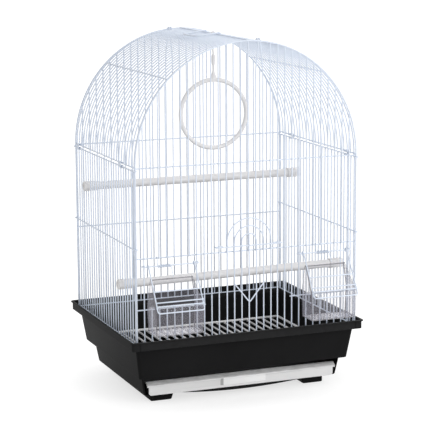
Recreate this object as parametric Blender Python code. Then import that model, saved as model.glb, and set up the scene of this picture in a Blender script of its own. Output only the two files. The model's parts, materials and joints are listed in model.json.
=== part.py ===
# Bird cage with an arched wire top, a basin with a pull-out drawer, two feeders and a guillotine door
import bpy
import bmesh
from math import atan2, ceil, cos, pi, radians, sin, sqrt
from mathutils import Vector

# Wires
WIRE_R = 0.0011
FRAME_R = 0.0013
WELD_DEPTH = 0.00045
WIRE_SIDES = 4
ROUND_SIDES = 6
CLEARANCE = 0.0003
CUT_OVERRUN = 0.005
CORNER_STEPS = 3
SMALL_CORNER_STEPS = 2
CORNER_SHARE = 0.45

# Basin, heights measured down from its rim
RIM_WIDTH = 0.3514
RIM_DEPTH = 0.2835
RIM_HEIGHT = 0.0981
FLANGE_CORNER = 0.006
SKIRT_CORNER = 0.004
LIP_CORNER = 0.0008
BASIN_CORNER = 0.006
FLANGE_OVERHANG = 0.0022
FLANGE_THICKNESS = 0.0017
SKIRT_HEIGHT = 0.0124
LIP_WALL = 0.0015
CHANNEL_DROP = 0.0096
SKIRT_STEP = 0.0090
BASIN_WALL = 0.0022
BASIN_TAPER = 0.0066
BASIN_DROP = 0.0569
LEDGE_THICKNESS = 0.0030
LEDGE_REACH = 0.0112
WELL_SIDE_MARGIN = 0.0247
WELL_FRONT_MARGIN = 0.0292
WELL_BACK_MARGIN = 0.0398
WELL_TAPER = 0.0043
WELL_WALL = 0.0020
WELL_DROP = 0.0853
FLOOR_THICKNESS = 0.0018
WELL_CORNER = 0.004
APRON_DROP = 0.0052
APRON_THICKNESS = 0.0020
APRON_INSET = 0.0003
APRON_STEPS = 8
FOOT_LENGTH = 0.0311
FOOT_DEPTH = 0.0280
FOOT_TAPER = 0.0045
FOOT_SIDE_MARGIN = 0.0145
FOOT_END_MARGIN = 0.0137
FOOT_CORNER = 0.002
GROOVE_WIDTH = 0.0012
GROOVE_DEPTH = 0.0007
GROOVE_INSET = 0.0160

# Drawer
DRAWER_SET_BACK = 0.0001
DRAWER_LIP_MARGIN = 0.0059
DRAWER_LIP_SLOPE = 0.0054
DRAWER_LIP_RISE = 0.0039
DRAWER_LIP_FLAT = 0.0030
DRAWER_LIP_HEIGHT = 0.0026
DRAWER_LIP_DROP = 0.0683
DRAWER_PLATE = 0.0020
DRAWER_FACE_MARGIN = 0.0113
DRAWER_FACE_HEIGHT = 0.0173
DRAWER_FACE_CORNER = 0.004
DRAWER_FACE_INSET = 0.0015
GRIP_LENGTH = 0.0690
GRIP_SLANT = 0.0040
GRIP_INSET = 0.0002
GRIP_FOOT = 0.0037
PAN_MARGIN = 0.0090
PAN_WALL = 0.0018
PAN_BACK_GAP = 0.0030

# Floor grille
GRILLE_SIDE_MARGIN = 0.0222
GRILLE_END_MARGIN = 0.0268
GRILLE_SPACES = 24
GRILLE_FRAME_R = 0.0018
GRILLE_BAR_R = 0.0013

# Cage, heights measured up from the basin's rim
CAGE_SIDE_MARGIN = 0.0114
CAGE_FRONT_MARGIN = 0.0095
CAGE_BACK_MARGIN = 0.0084
FRONT_SPACES = 30
SIDE_SPACES = 24
SIDE_END_GAP = 0.0050
BOTTOM_WIRE_RISE = 0.0018
MID_WIRE_HEIGHT = 0.1137
SIDE_MID_HEIGHT = 0.1273
SIDE_TOP_HEIGHT = 0.2344
SHOULDER_GAP = 0.0030
ROOF_GAP = 0.0045
WIRE_END = 0.0009
FRONT_ARCH_STEPS = 25
ROOF_ARC_STEPS = 12
ROOF_QUARTERS = 4
HOOK_STEPS = 6
SIDE_HOOK_SWEEP = radians(198)
ROOF_HOOK_REACH = 0.0080
ROOF_HOOK_SINK = 0.0018
ROOF_HOOK_GAP = 0.0032
ROOF_HOOK_LEAN_SHARE = 0.25
CLIP_LENGTH = 0.0070
CLIP_WALL = 0.0010
CLIP_MOUTH = 0.0016
CLIP_STEPS = 5
RIGHT_CLIP_SPACES = (-10, 8)
LEFT_CLIP_SPACES = (-8, 10)

# Guillotine door
DOOR_HALF_SPACES = 3
DOOR_FOOT_GAP = 0.0006
DOOR_BAR_RISE = 0.0079
DOOR_SPRING_RISE = 0.0055
DOOR_ARCH_STEPS = 9
DOOR_CENTRE_R = 0.0010
DOOR_LOOP_REACH = 0.0054
PULL_DROP = 0.0799
PULL_HEIGHT = 0.0278
PULL_NOSE = 0.0012

# Feeders
FEEDER_INNER_INDEX = 7
FEEDER_OUTER_INDEX = 14
SILL_HEIGHT = 0.0428
SILL_INNER_INDEX = 6
CUP_SIDE_GAP = 0.0028
CUP_TOP_GAP = 0.0075
CUP_BASE_GAP = 0.0041
CUP_BASE_DEPTH = 0.0338
CUP_NOSE_DEPTH = 0.0350
CUP_KNEE_DEPTH = 0.0325
CUP_TOP_DEPTH = 0.0050
CUP_BASE_HEIGHT = 0.0126
CUP_NOSE_RISE = 0.0334
CUP_KNEE_RISE = 0.0395
CUP_TOP_RISE = 0.0736
CUP_WALL = 0.0015
CUP_CORNER = 0.0030
CUP_HEADROOM = 0.0030
TONGUE_GAP = 0.0083
TONGUE_REACH = 0.0075

# Flaps and their springs
HINGE_HEIGHT = 0.1032
FLAP_SIDE_GAP = 0.0049
FLAP_LENGTH = 0.0690
FLAP_LEAN = radians(33)
FLAP_CORNER = 0.0030
FLAP_EYE_START = radians(60)
FLAP_BAR_SHARES = (0.557, 0.787, 0.871)
ROD_EYE_SWEEP = radians(240)
SPRING_WIRE_R = 0.00045
SPRING_R = 0.0020
SPRING_LENGTH = 0.0185
SPRING_TURNS = 8
SPRING_TURN_STEPS = 8
SPRING_LEG = 0.0150
LEFT_SPRING_SHIFT = -0.0190
RIGHT_SPRING_SHIFT = -0.0121

# Perches
PERCH_ROD_R = 0.00585
PERCH_CAP_R = 0.0070
PERCH_CAP_LENGTH = 0.0210
PERCH_CAP_OVERHANG = 0.0075
PERCH_SOCKET_DEPTH = 0.0100
UPPER_PERCH_HEIGHT = 0.1835
LOWER_PERCH_HEIGHT = 0.0710
UPPER_PERCH_INDEX = 7
LOWER_PERCH_INDEX = -7
PERCH_SIDES = 12

# Swing and carrying handle
SWING_RING_R = 0.05075
SWING_RING_STEPS = 30
SWING_TUBE_R = 0.00325
SWING_DROP = 0.1163
SWING_FLARE_R = 0.0060
SWING_FLARE_WAIST_R = 0.0040
SWING_FLARE_WAIST_RISE = 0.0033
SWING_FLARE_RISE = 0.0100
SWING_STEM_R = 0.0015
SWING_STEM_SIDES = 8
SWING_BEAD_R = 0.00275
SWING_BEAD_START = 0.0240
SWING_BEAD_LENGTH = 0.0150
SWING_BEAD_TAPER = 0.0038
SWING_NECK_R = 0.0016
SWING_HOOK_R = 0.0012
HANDLE_R = 0.0012
HANDLE_REACH = 0.0350
HANDLE_CORNER = 0.0080
HANDLE_SPACES = 5
HANDLE_TAIL = radians(225)

# Places worked out from the sizes
CAGE_WIDTH = RIM_WIDTH - 2 * CAGE_SIDE_MARGIN
CAGE_DEPTH = RIM_DEPTH - CAGE_FRONT_MARGIN - CAGE_BACK_MARGIN
CAGE_SHIFT = (CAGE_FRONT_MARGIN - CAGE_BACK_MARGIN) / 2
SIDE_PITCH = (CAGE_DEPTH - 2 * SIDE_END_GAP) / SIDE_SPACES
PITCH = CAGE_WIDTH / FRONT_SPACES
HALF_WIDTH = CAGE_WIDTH / 2
WELD = 2 * WIRE_R - WELD_DEPTH
TOUCH = 2 * WIRE_R + CLEARANCE
FLAP_REACH = FLAP_LENGTH * sin(FLAP_LEAN) + TOUCH * cos(FLAP_LEAN)
FRONT_REACH = CAGE_DEPTH / 2 - CAGE_SHIFT + TOUCH + FLAP_REACH + WIRE_R
RIM_Y = (FRONT_REACH - RIM_DEPTH / 2) / 2
CAGE_Y = RIM_Y + CAGE_SHIFT
FRONT_Y = CAGE_Y - CAGE_DEPTH / 2
BACK_Y = CAGE_Y + CAGE_DEPTH / 2
RIM_Z = RIM_HEIGHT
CAGE_Z = RIM_Z - CHANNEL_DROP + CLEARANCE
BOTTOM_Z = CAGE_Z + BOTTOM_WIRE_RISE
MID_Z = RIM_Z + MID_WIRE_HEIGHT
SIDE_MID_Z = RIM_Z + SIDE_MID_HEIGHT
SIDE_TOP_Z = RIM_Z + SIDE_TOP_HEIGHT
SHOULDER_Z = SIDE_TOP_Z + SHOULDER_GAP
ROOF_Z = SIDE_TOP_Z + ROOF_GAP
SILL_Z = RIM_Z + SILL_HEIGHT
ARC_STEP = pi / ROOF_ARC_STEPS
ARC_OUTER_R = HALF_WIDTH / sqrt(cos(ARC_STEP / 2))
ARC_INNER_R = HALF_WIDTH * sqrt(cos(ARC_STEP / 2))
RIDGE_Z = ROOF_Z + ARC_INNER_R + WELD
WELL_HALF = RIM_WIDTH / 2 - WELL_SIDE_MARGIN
WELL_FRONT_Y = RIM_Y - RIM_DEPTH / 2 + WELL_FRONT_MARGIN
WELL_BACK_Y = RIM_Y + RIM_DEPTH / 2 - WELL_BACK_MARGIN
WELL_TOP_Z = RIM_Z - BASIN_DROP - LEDGE_THICKNESS
WELL_BOTTOM_Z = RIM_Z - WELL_DROP
WELL_FLOOR_Z = WELL_BOTTOM_Z + FLOOR_THICKNESS
LEDGE_Z = RIM_Z - BASIN_DROP + LEDGE_THICKNESS
FOOT_OUTER_X = WELL_HALF - WELL_TAPER - FOOT_SIDE_MARGIN
FOOT_FRONT_Y = WELL_FRONT_Y + WELL_TAPER + FOOT_END_MARGIN
FOOT_BACK_Y = WELL_BACK_Y - WELL_TAPER - FOOT_END_MARGIN
GRILLE_Z = LEDGE_Z + CLEARANCE + GRILLE_FRAME_R
FEEDER_X = PITCH * (FEEDER_INNER_INDEX + FEEDER_OUTER_INDEX) / 2
BAY_HALF = PITCH * (FEEDER_OUTER_INDEX - FEEDER_INNER_INDEX) / 2
CUP_BACK_Y = FRONT_Y - WIRE_R - CLEARANCE
HINGE_Y = FRONT_Y - TOUCH
HINGE_Z = RIM_Z + HINGE_HEIGHT
CUP_Z = RIM_Z + CUP_BASE_HEIGHT


# Materials
def material(name, colour, roughness, metallic=0, alpha=1):
    made = bpy.data.materials.new(name)
    made.use_nodes = True
    shader = made.node_tree.nodes["Principled BSDF"]
    shader.inputs["Base Color"].default_value = (*colour, 1)
    shader.inputs["Roughness"].default_value = roughness
    shader.inputs["Metallic"].default_value = metallic
    shader.inputs["Alpha"].default_value = alpha
    return made


def white_wire():
    return material("white_wire", (0.80, 0.84, 0.90), 0.35)


def black_plastic():
    return material("black_plastic", (0.012, 0.012, 0.014), 0.38)


def pale_plastic():
    return material("pale_plastic", (0.72, 0.73, 0.76), 0.42)


def clear_plastic():
    return material("clear_plastic", (0.90, 0.93, 0.95), 0.06, alpha=0.3)


def white_plastic():
    return material("white_plastic", (0.86, 0.86, 0.85), 0.40)


def bright_steel():
    return material("bright_steel", (0.62, 0.63, 0.65), 0.25, 1)


# Building blocks
def clear_scene():
    for item in list(bpy.data.objects):
        bpy.data.objects.remove(item, do_unlink=True)


def empty(name, place, parent=None):
    made = bpy.data.objects.new(name, None)
    bpy.context.collection.objects.link(made)
    made.parent = parent
    origin = parent.matrix_world.translation if parent else Vector((0, 0, 0))
    made.location = Vector(place) - origin
    bpy.context.view_layer.update()
    return made


def solid(name, mesh, place, parent=None, surface=None, smooth=None):
    # The mesh is drawn in world coordinates and then moved to the object's own origin
    data = bpy.data.meshes.new(name)
    bmesh.ops.translate(mesh, verts=mesh.verts, vec=-Vector(place))
    mesh.to_mesh(data)
    mesh.free()
    if smooth:
        data.shade_smooth()
        data.set_sharp_from_angle(angle=smooth)
    made = bpy.data.objects.new(name, data)
    bpy.context.collection.objects.link(made)
    made.parent = parent
    origin = parent.matrix_world.translation if parent else Vector((0, 0, 0))
    made.location = Vector(place) - origin
    if surface:
        data.materials.append(surface)
    bpy.context.view_layer.update()
    return made


def combine(target, mesh, operation):
    tool = solid(target.name + "_" + operation.lower(), mesh, (0, 0, 0))
    tool.hide_render = True
    tool.display_type = "WIRE"
    step = target.modifiers.new(operation.lower(), "BOOLEAN")
    step.operation = operation
    step.solver = "EXACT"
    step.object = tool
    return tool


def bridge(mesh, lower, upper):
    count = len(lower)
    for k in range(count):
        after = (k + 1) % count
        mesh.faces.new((lower[k], lower[after], upper[after], upper[k]))


def loft(mesh, rings):
    made = [[mesh.verts.new(point) for point in ring] for ring in rings]
    for lower, upper in zip(made, made[1:]):
        bridge(mesh, lower, upper)
    mesh.faces.new(reversed(made[0]))
    mesh.faces.new(made[-1])


def section(direction, facing, radius, sides):
    first = facing - direction * facing.dot(direction)
    first.normalize()
    second = direction.cross(first)
    angles = [2 * pi * k / sides for k in range(sides)]
    return [radius * (cos(a) * first + sin(a) * second) for a in angles]


def wire(mesh, points, radius, facing, sides=WIRE_SIDES, closed=False):
    # A tube with mitred joints, one edge of which looks in the facing direction
    points = [Vector(point) for point in points]
    count = len(points)
    runs = count if closed else count - 1
    directions = [(points[(i + 1) % count] - points[i]).normalized() for i in range(runs)]
    incoming = directions[-1] if closed else directions[0]
    offsets = section(incoming, Vector(facing), radius, sides)
    rings = []
    for i, point in enumerate(points):
        outgoing = directions[i] if i < runs else incoming
        middle = (incoming + outgoing).normalized()
        slope = incoming.dot(middle)
        rings.append([point + o - incoming * (o.dot(middle) / slope) for o in offsets])
        turn = incoming.rotation_difference(outgoing)
        offsets = [turn @ o for o in offsets]
        incoming = outgoing
    made = [[mesh.verts.new(corner) for corner in ring] for ring in rings]
    for lower, upper in zip(made, made[1:]):
        bridge(mesh, lower, upper)
    if closed:
        bridge(mesh, made[-1], made[0])
    else:
        mesh.faces.new(reversed(made[0]))
        mesh.faces.new(made[-1])


def box(mesh, low, high):
    (x0, y0, z0), (x1, y1, z1) = low, high
    flat = [(x0, y0), (x1, y0), (x1, y1), (x0, y1)]
    loft(mesh, [[(x, y, z) for x, y in flat] for z in (z0, z1)])


def arc(centre, radius, start, end, steps):
    angles = [start + (end - start) * k / steps for k in range(steps + 1)]
    return [(centre[0] + radius * cos(a), centre[1] + radius * sin(a)) for a in angles]


def hoop(centre, radius, start, end, steps):
    # An arc whose straight runs, not its corners, keep the radius
    return arc(centre, radius / cos((end - start) / steps / 2), start, end, steps)


def rounded_ring(half, front, back, z, corner, steps=CORNER_STEPS):
    corner = min(corner, half, (back - front) * CORNER_SHARE)
    places = [(half, front), (half, back), (-half, back), (-half, front)]
    ring = []
    for k, (x, y) in enumerate(places):
        centre = (x - corner if x > 0 else x + corner, y - corner if y == back else y + corner)
        start = (k - 1) * pi / 2
        ring += [(px, py, z) for px, py in arc(centre, corner, start, start + pi / 2, steps)]
    return ring


def prism_along_x(mesh, outline, x0, x1):
    loft(mesh, [[(x, y, z) for y, z in outline] for x in (x0, x1)])


def prism_along_y(mesh, outline, y0, y1):
    loft(mesh, [[(x, y, z) for x, z in reversed(outline)] for y in (y0, y1)])


# Basin
def basin_rings():
    half, front, back = RIM_WIDTH / 2, RIM_Y - RIM_DEPTH / 2, RIM_Y + RIM_DEPTH / 2

    def inset(amount, drop, corner=BASIN_CORNER):
        return rounded_ring(half - amount, front + amount, back - amount, RIM_Z - drop, corner)

    def well(amount, z, corner=WELL_CORNER):
        return rounded_ring(WELL_HALF - amount, WELL_FRONT_Y + amount, WELL_BACK_Y - amount, z, corner)

    skirt = FLANGE_OVERHANG
    body = skirt + SKIRT_STEP
    foot = body + BASIN_TAPER
    lip = skirt + LIP_WALL
    floor = RIM_Z - LEDGE_Z
    return [
        well(WELL_TAPER, WELL_BOTTOM_Z),
        well(0, WELL_TOP_Z + LEDGE_THICKNESS - FLANGE_THICKNESS),
        inset(foot, BASIN_DROP),
        inset(body, SKIRT_HEIGHT),
        inset(skirt, SKIRT_HEIGHT, SKIRT_CORNER),
        inset(skirt, FLANGE_THICKNESS, SKIRT_CORNER),
        inset(0, FLANGE_THICKNESS, FLANGE_CORNER),
        inset(0, 0, FLANGE_CORNER),
        inset(lip, 0, LIP_CORNER),
        inset(lip, CHANNEL_DROP, LIP_CORNER),
        inset(body + BASIN_WALL * 2, CHANNEL_DROP),
        inset(foot + BASIN_WALL, floor),
        well(LEDGE_REACH, LEDGE_Z),
        well(LEDGE_REACH, WELL_TOP_Z),
        well(WELL_WALL, WELL_TOP_Z),
        well(WELL_TAPER + WELL_WALL, WELL_FLOOR_Z),
    ]


def drawer_slot():
    mesh = bmesh.new()
    low = WELL_FLOOR_Z - CLEARANCE
    high = WELL_TOP_Z - CLEARANCE
    front = WELL_FRONT_Y - CUT_OVERRUN
    back = WELL_FRONT_Y + WELL_TAPER + WELL_WALL + WELL_CORNER
    rings = []
    for z, inset in ((low, WELL_TAPER), (high, 0)):
        half = WELL_HALF - WELL_WALL - inset
        rings.append([(-half, front, z), (half, front, z), (half, back, z), (-half, back, z)])
    loft(mesh, rings)
    return mesh


def feet(mesh):
    # Upright outside, with an inner end that slants towards the floor
    for side in (-1, 1):
        for front in (FOOT_FRONT_Y, FOOT_BACK_Y - FOOT_DEPTH):
            rings = []
            for z, longer in ((0, 0), (WELL_FLOOR_Z - FLOOR_THICKNESS / 2, FOOT_TAPER)):
                half = (FOOT_LENGTH + longer) / 2
                middle = side * (FOOT_OUTER_X - half)
                ring = rounded_ring(half, front, front + FOOT_DEPTH, z, FOOT_CORNER, SMALL_CORNER_STEPS)
                rings.append([(middle + x, y, z) for x, y, z in ring])
            loft(mesh, rings)


def feet_and_apron():
    mesh = bmesh.new()
    feet(mesh)
    half = FOOT_OUTER_X - FOOT_LENGTH - FOOT_TAPER
    radius = (half ** 2 + APRON_DROP ** 2) / (2 * APRON_DROP)
    spread = atan2(half, radius - APRON_DROP)
    centre = (0, WELL_BOTTOM_Z - APRON_DROP + radius)
    outline = arc(centre, radius, -pi / 2 - spread, -pi / 2 + spread, APRON_STEPS)
    top = WELL_BOTTOM_Z + FLOOR_THICKNESS / 2
    outline += [(half, top), (-half, top)]
    front = WELL_FRONT_Y + WELL_TAPER + APRON_INSET
    prism_along_y(mesh, outline, front, front + APRON_THICKNESS)
    return mesh


def skirt_grooves():
    mesh = bmesh.new()
    half = RIM_WIDTH / 2 - GROOVE_INSET
    depth = RIM_DEPTH / 2 - FLANGE_OVERHANG - GROOVE_DEPTH
    for x in (-half, half):
        for end in (-1, 1):
            near = RIM_Y + end * depth
            far = near + end * CUT_OVERRUN
            low = (x - GROOVE_WIDTH / 2, min(near, far), RIM_Z - SKIRT_HEIGHT - CUT_OVERRUN)
            high = (x + GROOVE_WIDTH / 2, max(near, far), RIM_Z - FLANGE_THICKNESS - CLEARANCE)
            box(mesh, low, high)
    return mesh


def build_basin(surface):
    mesh = bmesh.new()
    loft(mesh, basin_rings())
    made = solid("base_tray", mesh, (0, RIM_Y, 0), surface=surface)
    combine(made, drawer_slot(), "DIFFERENCE")
    combine(made, feet_and_apron(), "UNION")
    combine(made, skirt_grooves(), "DIFFERENCE")
    return made


# Drawer
def lip_outline(front, top):
    # A slope that runs up and back from the front edge, with a turned-down edge in front
    low = top - DRAWER_LIP_HEIGHT
    crest = top + DRAWER_LIP_RISE
    back = front + DRAWER_LIP_SLOPE
    end = back + DRAWER_LIP_FLAT
    inner = front + DRAWER_PLATE
    return [(front, low), (inner, low), (inner, top - DRAWER_PLATE / 2), (back, crest - DRAWER_PLATE),
            (end, crest - DRAWER_PLATE), (end, crest), (back, crest), (front, top)]


def face_outline(top):
    half = WELL_HALF - DRAWER_FACE_MARGIN
    low = top - DRAWER_FACE_HEIGHT
    corner = DRAWER_FACE_CORNER
    outline = arc((half - corner, low + corner), corner, -pi / 2, 0, CORNER_STEPS)
    outline += [(half, top), (-half, top)]
    outline += arc((corner - half, low + corner), corner, -pi, -pi / 2, CORNER_STEPS)
    return outline


def finger_grip(front, face, top):
    # A raised pad with slanted ends in the middle of the face, under the lip
    half = GRIP_LENGTH / 2
    near = front + GRIP_INSET
    far = face + DRAWER_PLATE / 2
    outline = [(-half, near), (half, near), (half + GRIP_SLANT, far), (-half - GRIP_SLANT, far)]
    low = top - DRAWER_FACE_HEIGHT + GRIP_FOOT
    high = top - DRAWER_LIP_HEIGHT / 2
    mesh = bmesh.new()
    loft(mesh, [[(x, y, z) for x, y in outline] for z in (low, high)])
    return mesh


def build_drawer(face_surface, pan_surface):
    front = WELL_FRONT_Y + DRAWER_SET_BACK
    top = RIM_Z - DRAWER_LIP_DROP
    origin = (0, front, top)
    holder = empty("drawer", origin)
    half = WELL_HALF - DRAWER_LIP_MARGIN
    mesh = bmesh.new()
    prism_along_x(mesh, lip_outline(front, top), -half, half)
    plate = solid("drawer_front", mesh, origin, holder, face_surface)
    mesh = bmesh.new()
    face = front + DRAWER_FACE_INSET
    prism_along_y(mesh, face_outline(top - DRAWER_PLATE / 4), face, face + DRAWER_PLATE)
    combine(plate, mesh, "UNION")
    combine(plate, finger_grip(front, face, top), "UNION")
    build_pan(face + DRAWER_PLATE + CLEARANCE, top, holder, pan_surface)


def build_pan(front, top, holder, surface):
    half = WELL_HALF - PAN_MARGIN
    back = WELL_BACK_Y - WELL_TAPER - WELL_WALL - PAN_BACK_GAP
    low = WELL_FLOOR_Z + CLEARANCE
    high = top - DRAWER_PLATE - CLEARANCE

    def ring(inset, z):
        return rounded_ring(half - inset, front + inset, back - inset, z, DRAWER_FACE_CORNER)

    mesh = bmesh.new()
    loft(mesh, [ring(0, low), ring(0, high), ring(PAN_WALL, high), ring(PAN_WALL, low + PAN_WALL)])
    solid("drawer_pan", mesh, (0, front, low), holder, surface)


# Floor grille
def build_grille(surface):
    half = RIM_WIDTH / 2 - GRILLE_SIDE_MARGIN
    deep = RIM_DEPTH / 2 - GRILLE_END_MARGIN
    corners = [(-half, -deep), (half, -deep), (half, deep), (-half, deep)]
    mesh = bmesh.new()
    wire(mesh, [(x, RIM_Y + y, GRILLE_Z) for x, y in corners], GRILLE_FRAME_R, (0, 0, 1), closed=True)
    made = solid("floor_grille", mesh, (0, RIM_Y, GRILLE_Z), surface=surface)
    mesh = bmesh.new()
    z = GRILLE_Z + GRILLE_FRAME_R + GRILLE_BAR_R - WELD_DEPTH
    pitch = 2 * half / GRILLE_SPACES
    last = GRILLE_SPACES // 2
    for index in range(1 - last, last):
        x = index * pitch
        ends = [(x, RIM_Y + end * (deep + WIRE_END), z) for end in (-1, 1)]
        wire(mesh, ends, GRILLE_BAR_R, (0, 0, 1))
    combine(made, mesh, "UNION")


# Front and back panels
def arch_points(y):
    # The outer wire of an end panel: two corner posts bent over into the arch
    points = [(-HALF_WIDTH, y, CAGE_Z)]
    for x, z in arc((0, ROOF_Z), HALF_WIDTH, pi, 0, FRONT_ARCH_STEPS):
        points.append((x, y, z))
    points.append((HALF_WIDTH, y, CAGE_Z))
    return points


def arch_height(x, y):
    points = arch_points(y)[1:-1]
    for (x0, _, z0), (x1, _, z1) in zip(points, points[1:]):
        if x0 <= x <= x1:
            return z0 + (z1 - z0) * (x - x0) / (x1 - x0)
    return ROOF_Z


def roof_hook(index, y, inward, side):
    # A front wire that leans to its partner and hooks over the roof's end arc
    partner = 3 - index
    base = side * index * PITCH
    top = side * ((index + partner) * PITCH / 2 + (index - partner) * ROOF_HOOK_GAP / 2)
    reach = ROOF_HOOK_REACH / 2
    height = ROOF_Z + HALF_WIDTH - ROOF_HOOK_SINK
    lean = height - HALF_WIDTH * ROOF_HOOK_LEAN_SHARE
    points = [(base, y, CAGE_Z), (base, y, lean), (top, y, height - reach), (top, y, height)]
    if index <= DOOR_HALF_SPACES and inward > 0:
        points[0] = (base, y, MID_Z - WIRE_END)
    for k in range(1, HOOK_STEPS + 1):
        angle = pi * k / HOOK_STEPS
        points.append((top, y + inward * reach * (1 - cos(angle)), height + reach * sin(angle)))
    return points


def panel_wires(mesh, y, inward, side, feeders):
    last = FRONT_SPACES // 2
    for index in range(1 - last, last):
        x = index * PITCH
        low = CAGE_Z
        if feeders and abs(index) <= DOOR_HALF_SPACES:
            low = MID_Z - WIRE_END
        if feeders and FEEDER_INNER_INDEX < abs(index) < FEEDER_OUTER_INDEX:
            wire(mesh, [(x, y, CAGE_Z), (x, y, SILL_Z + WIRE_END)], WIRE_R, (0, 1, 0))
            low = MID_Z - WIRE_END
        if index * side in (1, 2):
            wire(mesh, roof_hook(abs(index), y, inward, side), WIRE_R, (0, 1, 0))
        else:
            wire(mesh, [(x, y, low), (x, y, arch_height(x, y))], WIRE_R, (0, 1, 0))


def cross_wires(y, heights, sill):
    mesh = bmesh.new()
    reach = HALF_WIDTH + WIRE_END
    for z in heights:
        wire(mesh, [(-reach, y, z), (reach, y, z)], WIRE_R, (0, 1, 0))
    if sill:
        start = SILL_INNER_INDEX * PITCH - WIRE_R - WIRE_END
        for side in (-1, 1):
            ends = sorted((side * start, side * reach))
            wire(mesh, [(ends[0], y, SILL_Z), (ends[1], y, SILL_Z)], WIRE_R, (0, 1, 0))
    return mesh


def build_end_panel(name, y, inward, side, feeders, cage, surface):
    mesh = bmesh.new()
    panel_wires(mesh, y, inward, side, feeders)
    made = solid(name, mesh, (0, y, CAGE_Z), cage, surface)
    heights = (BOTTOM_Z, MID_Z, SHOULDER_Z)
    combine(made, cross_wires(y + inward * WELD, heights, feeders), "UNION")
    mesh = bmesh.new()
    wire(mesh, arch_points(y), FRAME_R, (0, 1, 0))
    combine(made, mesh, "UNION")


# Side panels
def side_places():
    last = SIDE_SPACES // 2
    return [CAGE_Y + index * SIDE_PITCH for index in range(-last, last + 1)]


def side_hook_points(side, z):
    # A cross wire outside the uprights whose ends hook round the corner posts
    wrap = FRAME_R + WIRE_R + CLEARANCE
    places = side_places()
    points = []
    for end, post, near in ((-1, FRONT_Y, places[0]), (1, BACK_Y, places[-1])):
        hook = [(HALF_WIDTH + WELD, near + end * WIRE_R * 2)]
        hook += hoop((HALF_WIDTH, post), wrap, 0, SIDE_HOOK_SWEEP * end, HOOK_STEPS)
        points += reversed(hook) if end < 0 else hook
    return [(side * x, y, z) for x, y in points]


def build_side_panel(name, side, cage, surface):
    mesh = bmesh.new()
    x = side * HALF_WIDTH
    for y in side_places():
        wire(mesh, [(x, y, CAGE_Z), (x, y, SIDE_TOP_Z + WIRE_END)], WIRE_R, (1, 0, 0))
    made = solid(name, mesh, (x, CAGE_Y, CAGE_Z), cage, surface)
    mesh = bmesh.new()
    for z in (SIDE_MID_Z, SIDE_TOP_Z):
        points = side_hook_points(side, z)
        wire(mesh, points, WIRE_R, (0, 0, 1))
    places = side_places()
    inner = x - side * WELD
    low, high = places[0] - WIRE_END, places[-1] + WIRE_END
    wire(mesh, [(inner, low, BOTTOM_Z), (inner, high, BOTTOM_Z)], WIRE_R, (0, 0, 1))
    combine(made, mesh, "UNION")


# Roof
def roof_arc(y):
    start = -atan2(WIRE_END + WIRE_R, HALF_WIDTH)
    inner = [(k + 1 / 2) * ARC_STEP for k in range(ROOF_ARC_STEPS)]
    angles = [start] + inner + [pi - start]
    radii = [HALF_WIDTH] + [ARC_OUTER_R] * ROOF_ARC_STEPS + [HALF_WIDTH]
    return [(r * cos(a), y, ROOF_Z + r * sin(a)) for r, a in zip(radii, angles)]


def build_roof(cage, surface):
    mesh = bmesh.new()
    for y in side_places():
        wire(mesh, roof_arc(y), WIRE_R, (0, 1, 0))
    made = solid("roof_panel", mesh, (0, CAGE_Y, ROOF_Z), cage, surface)
    mesh = bmesh.new()
    places = side_places()
    low, high = places[0] - WIRE_END, places[-1] + WIRE_END
    for quarter in range(ROOF_QUARTERS + 1):
        angle = quarter * pi / ROOF_QUARTERS
        radius = ARC_INNER_R + WELD
        if quarter in (0, ROOF_QUARTERS):
            radius = HALF_WIDTH + WELD
        x, z = radius * cos(angle), ROOF_Z + radius * sin(angle)
        facing = (cos(angle), 0, sin(angle))
        wire(mesh, [(x, low, z), (x, high, z)], WIRE_R, facing)
    combine(made, mesh, "UNION")


def clip_outline():
    # An open oval ring that grips the side panel's top wire and the roof's base wire
    inner = WIRE_R + CLEARANCE
    outer = inner + CLIP_WALL
    half = (ROOF_Z - SIDE_TOP_Z) / 2
    mouth = CLIP_MOUTH / 2

    def shell(radius):
        upper = arc((0, half), radius, pi, 0, CLIP_STEPS)
        lower = arc((0, -half), radius, 0, -pi, CLIP_STEPS)
        return [(-radius, mouth)] + upper + lower + [(-radius, -mouth)]

    return shell(outer) + list(reversed(shell(inner)))


def build_clips(cage, surface):
    z = (ROOF_Z + SIDE_TOP_Z) / 2
    x = HALF_WIDTH + WELD
    outline = clip_outline()
    for word, side, places in (("left", -1, LEFT_CLIP_SPACES), ("right", 1, RIGHT_CLIP_SPACES)):
        for number, place in enumerate(places, 1):
            y = CAGE_Y + (place + 1 / 2) * SIDE_PITCH
            points = [(side * (x + px), z + pz) for px, pz in outline]
            if side > 0:
                points.reverse()
            mesh = bmesh.new()
            prism_along_y(mesh, points, y - CLIP_LENGTH / 2, y + CLIP_LENGTH / 2)
            name = word + "_roof_clip_" + str(number)
            solid(name, mesh, (side * x, y, z), cage, surface, radians(40))


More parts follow.
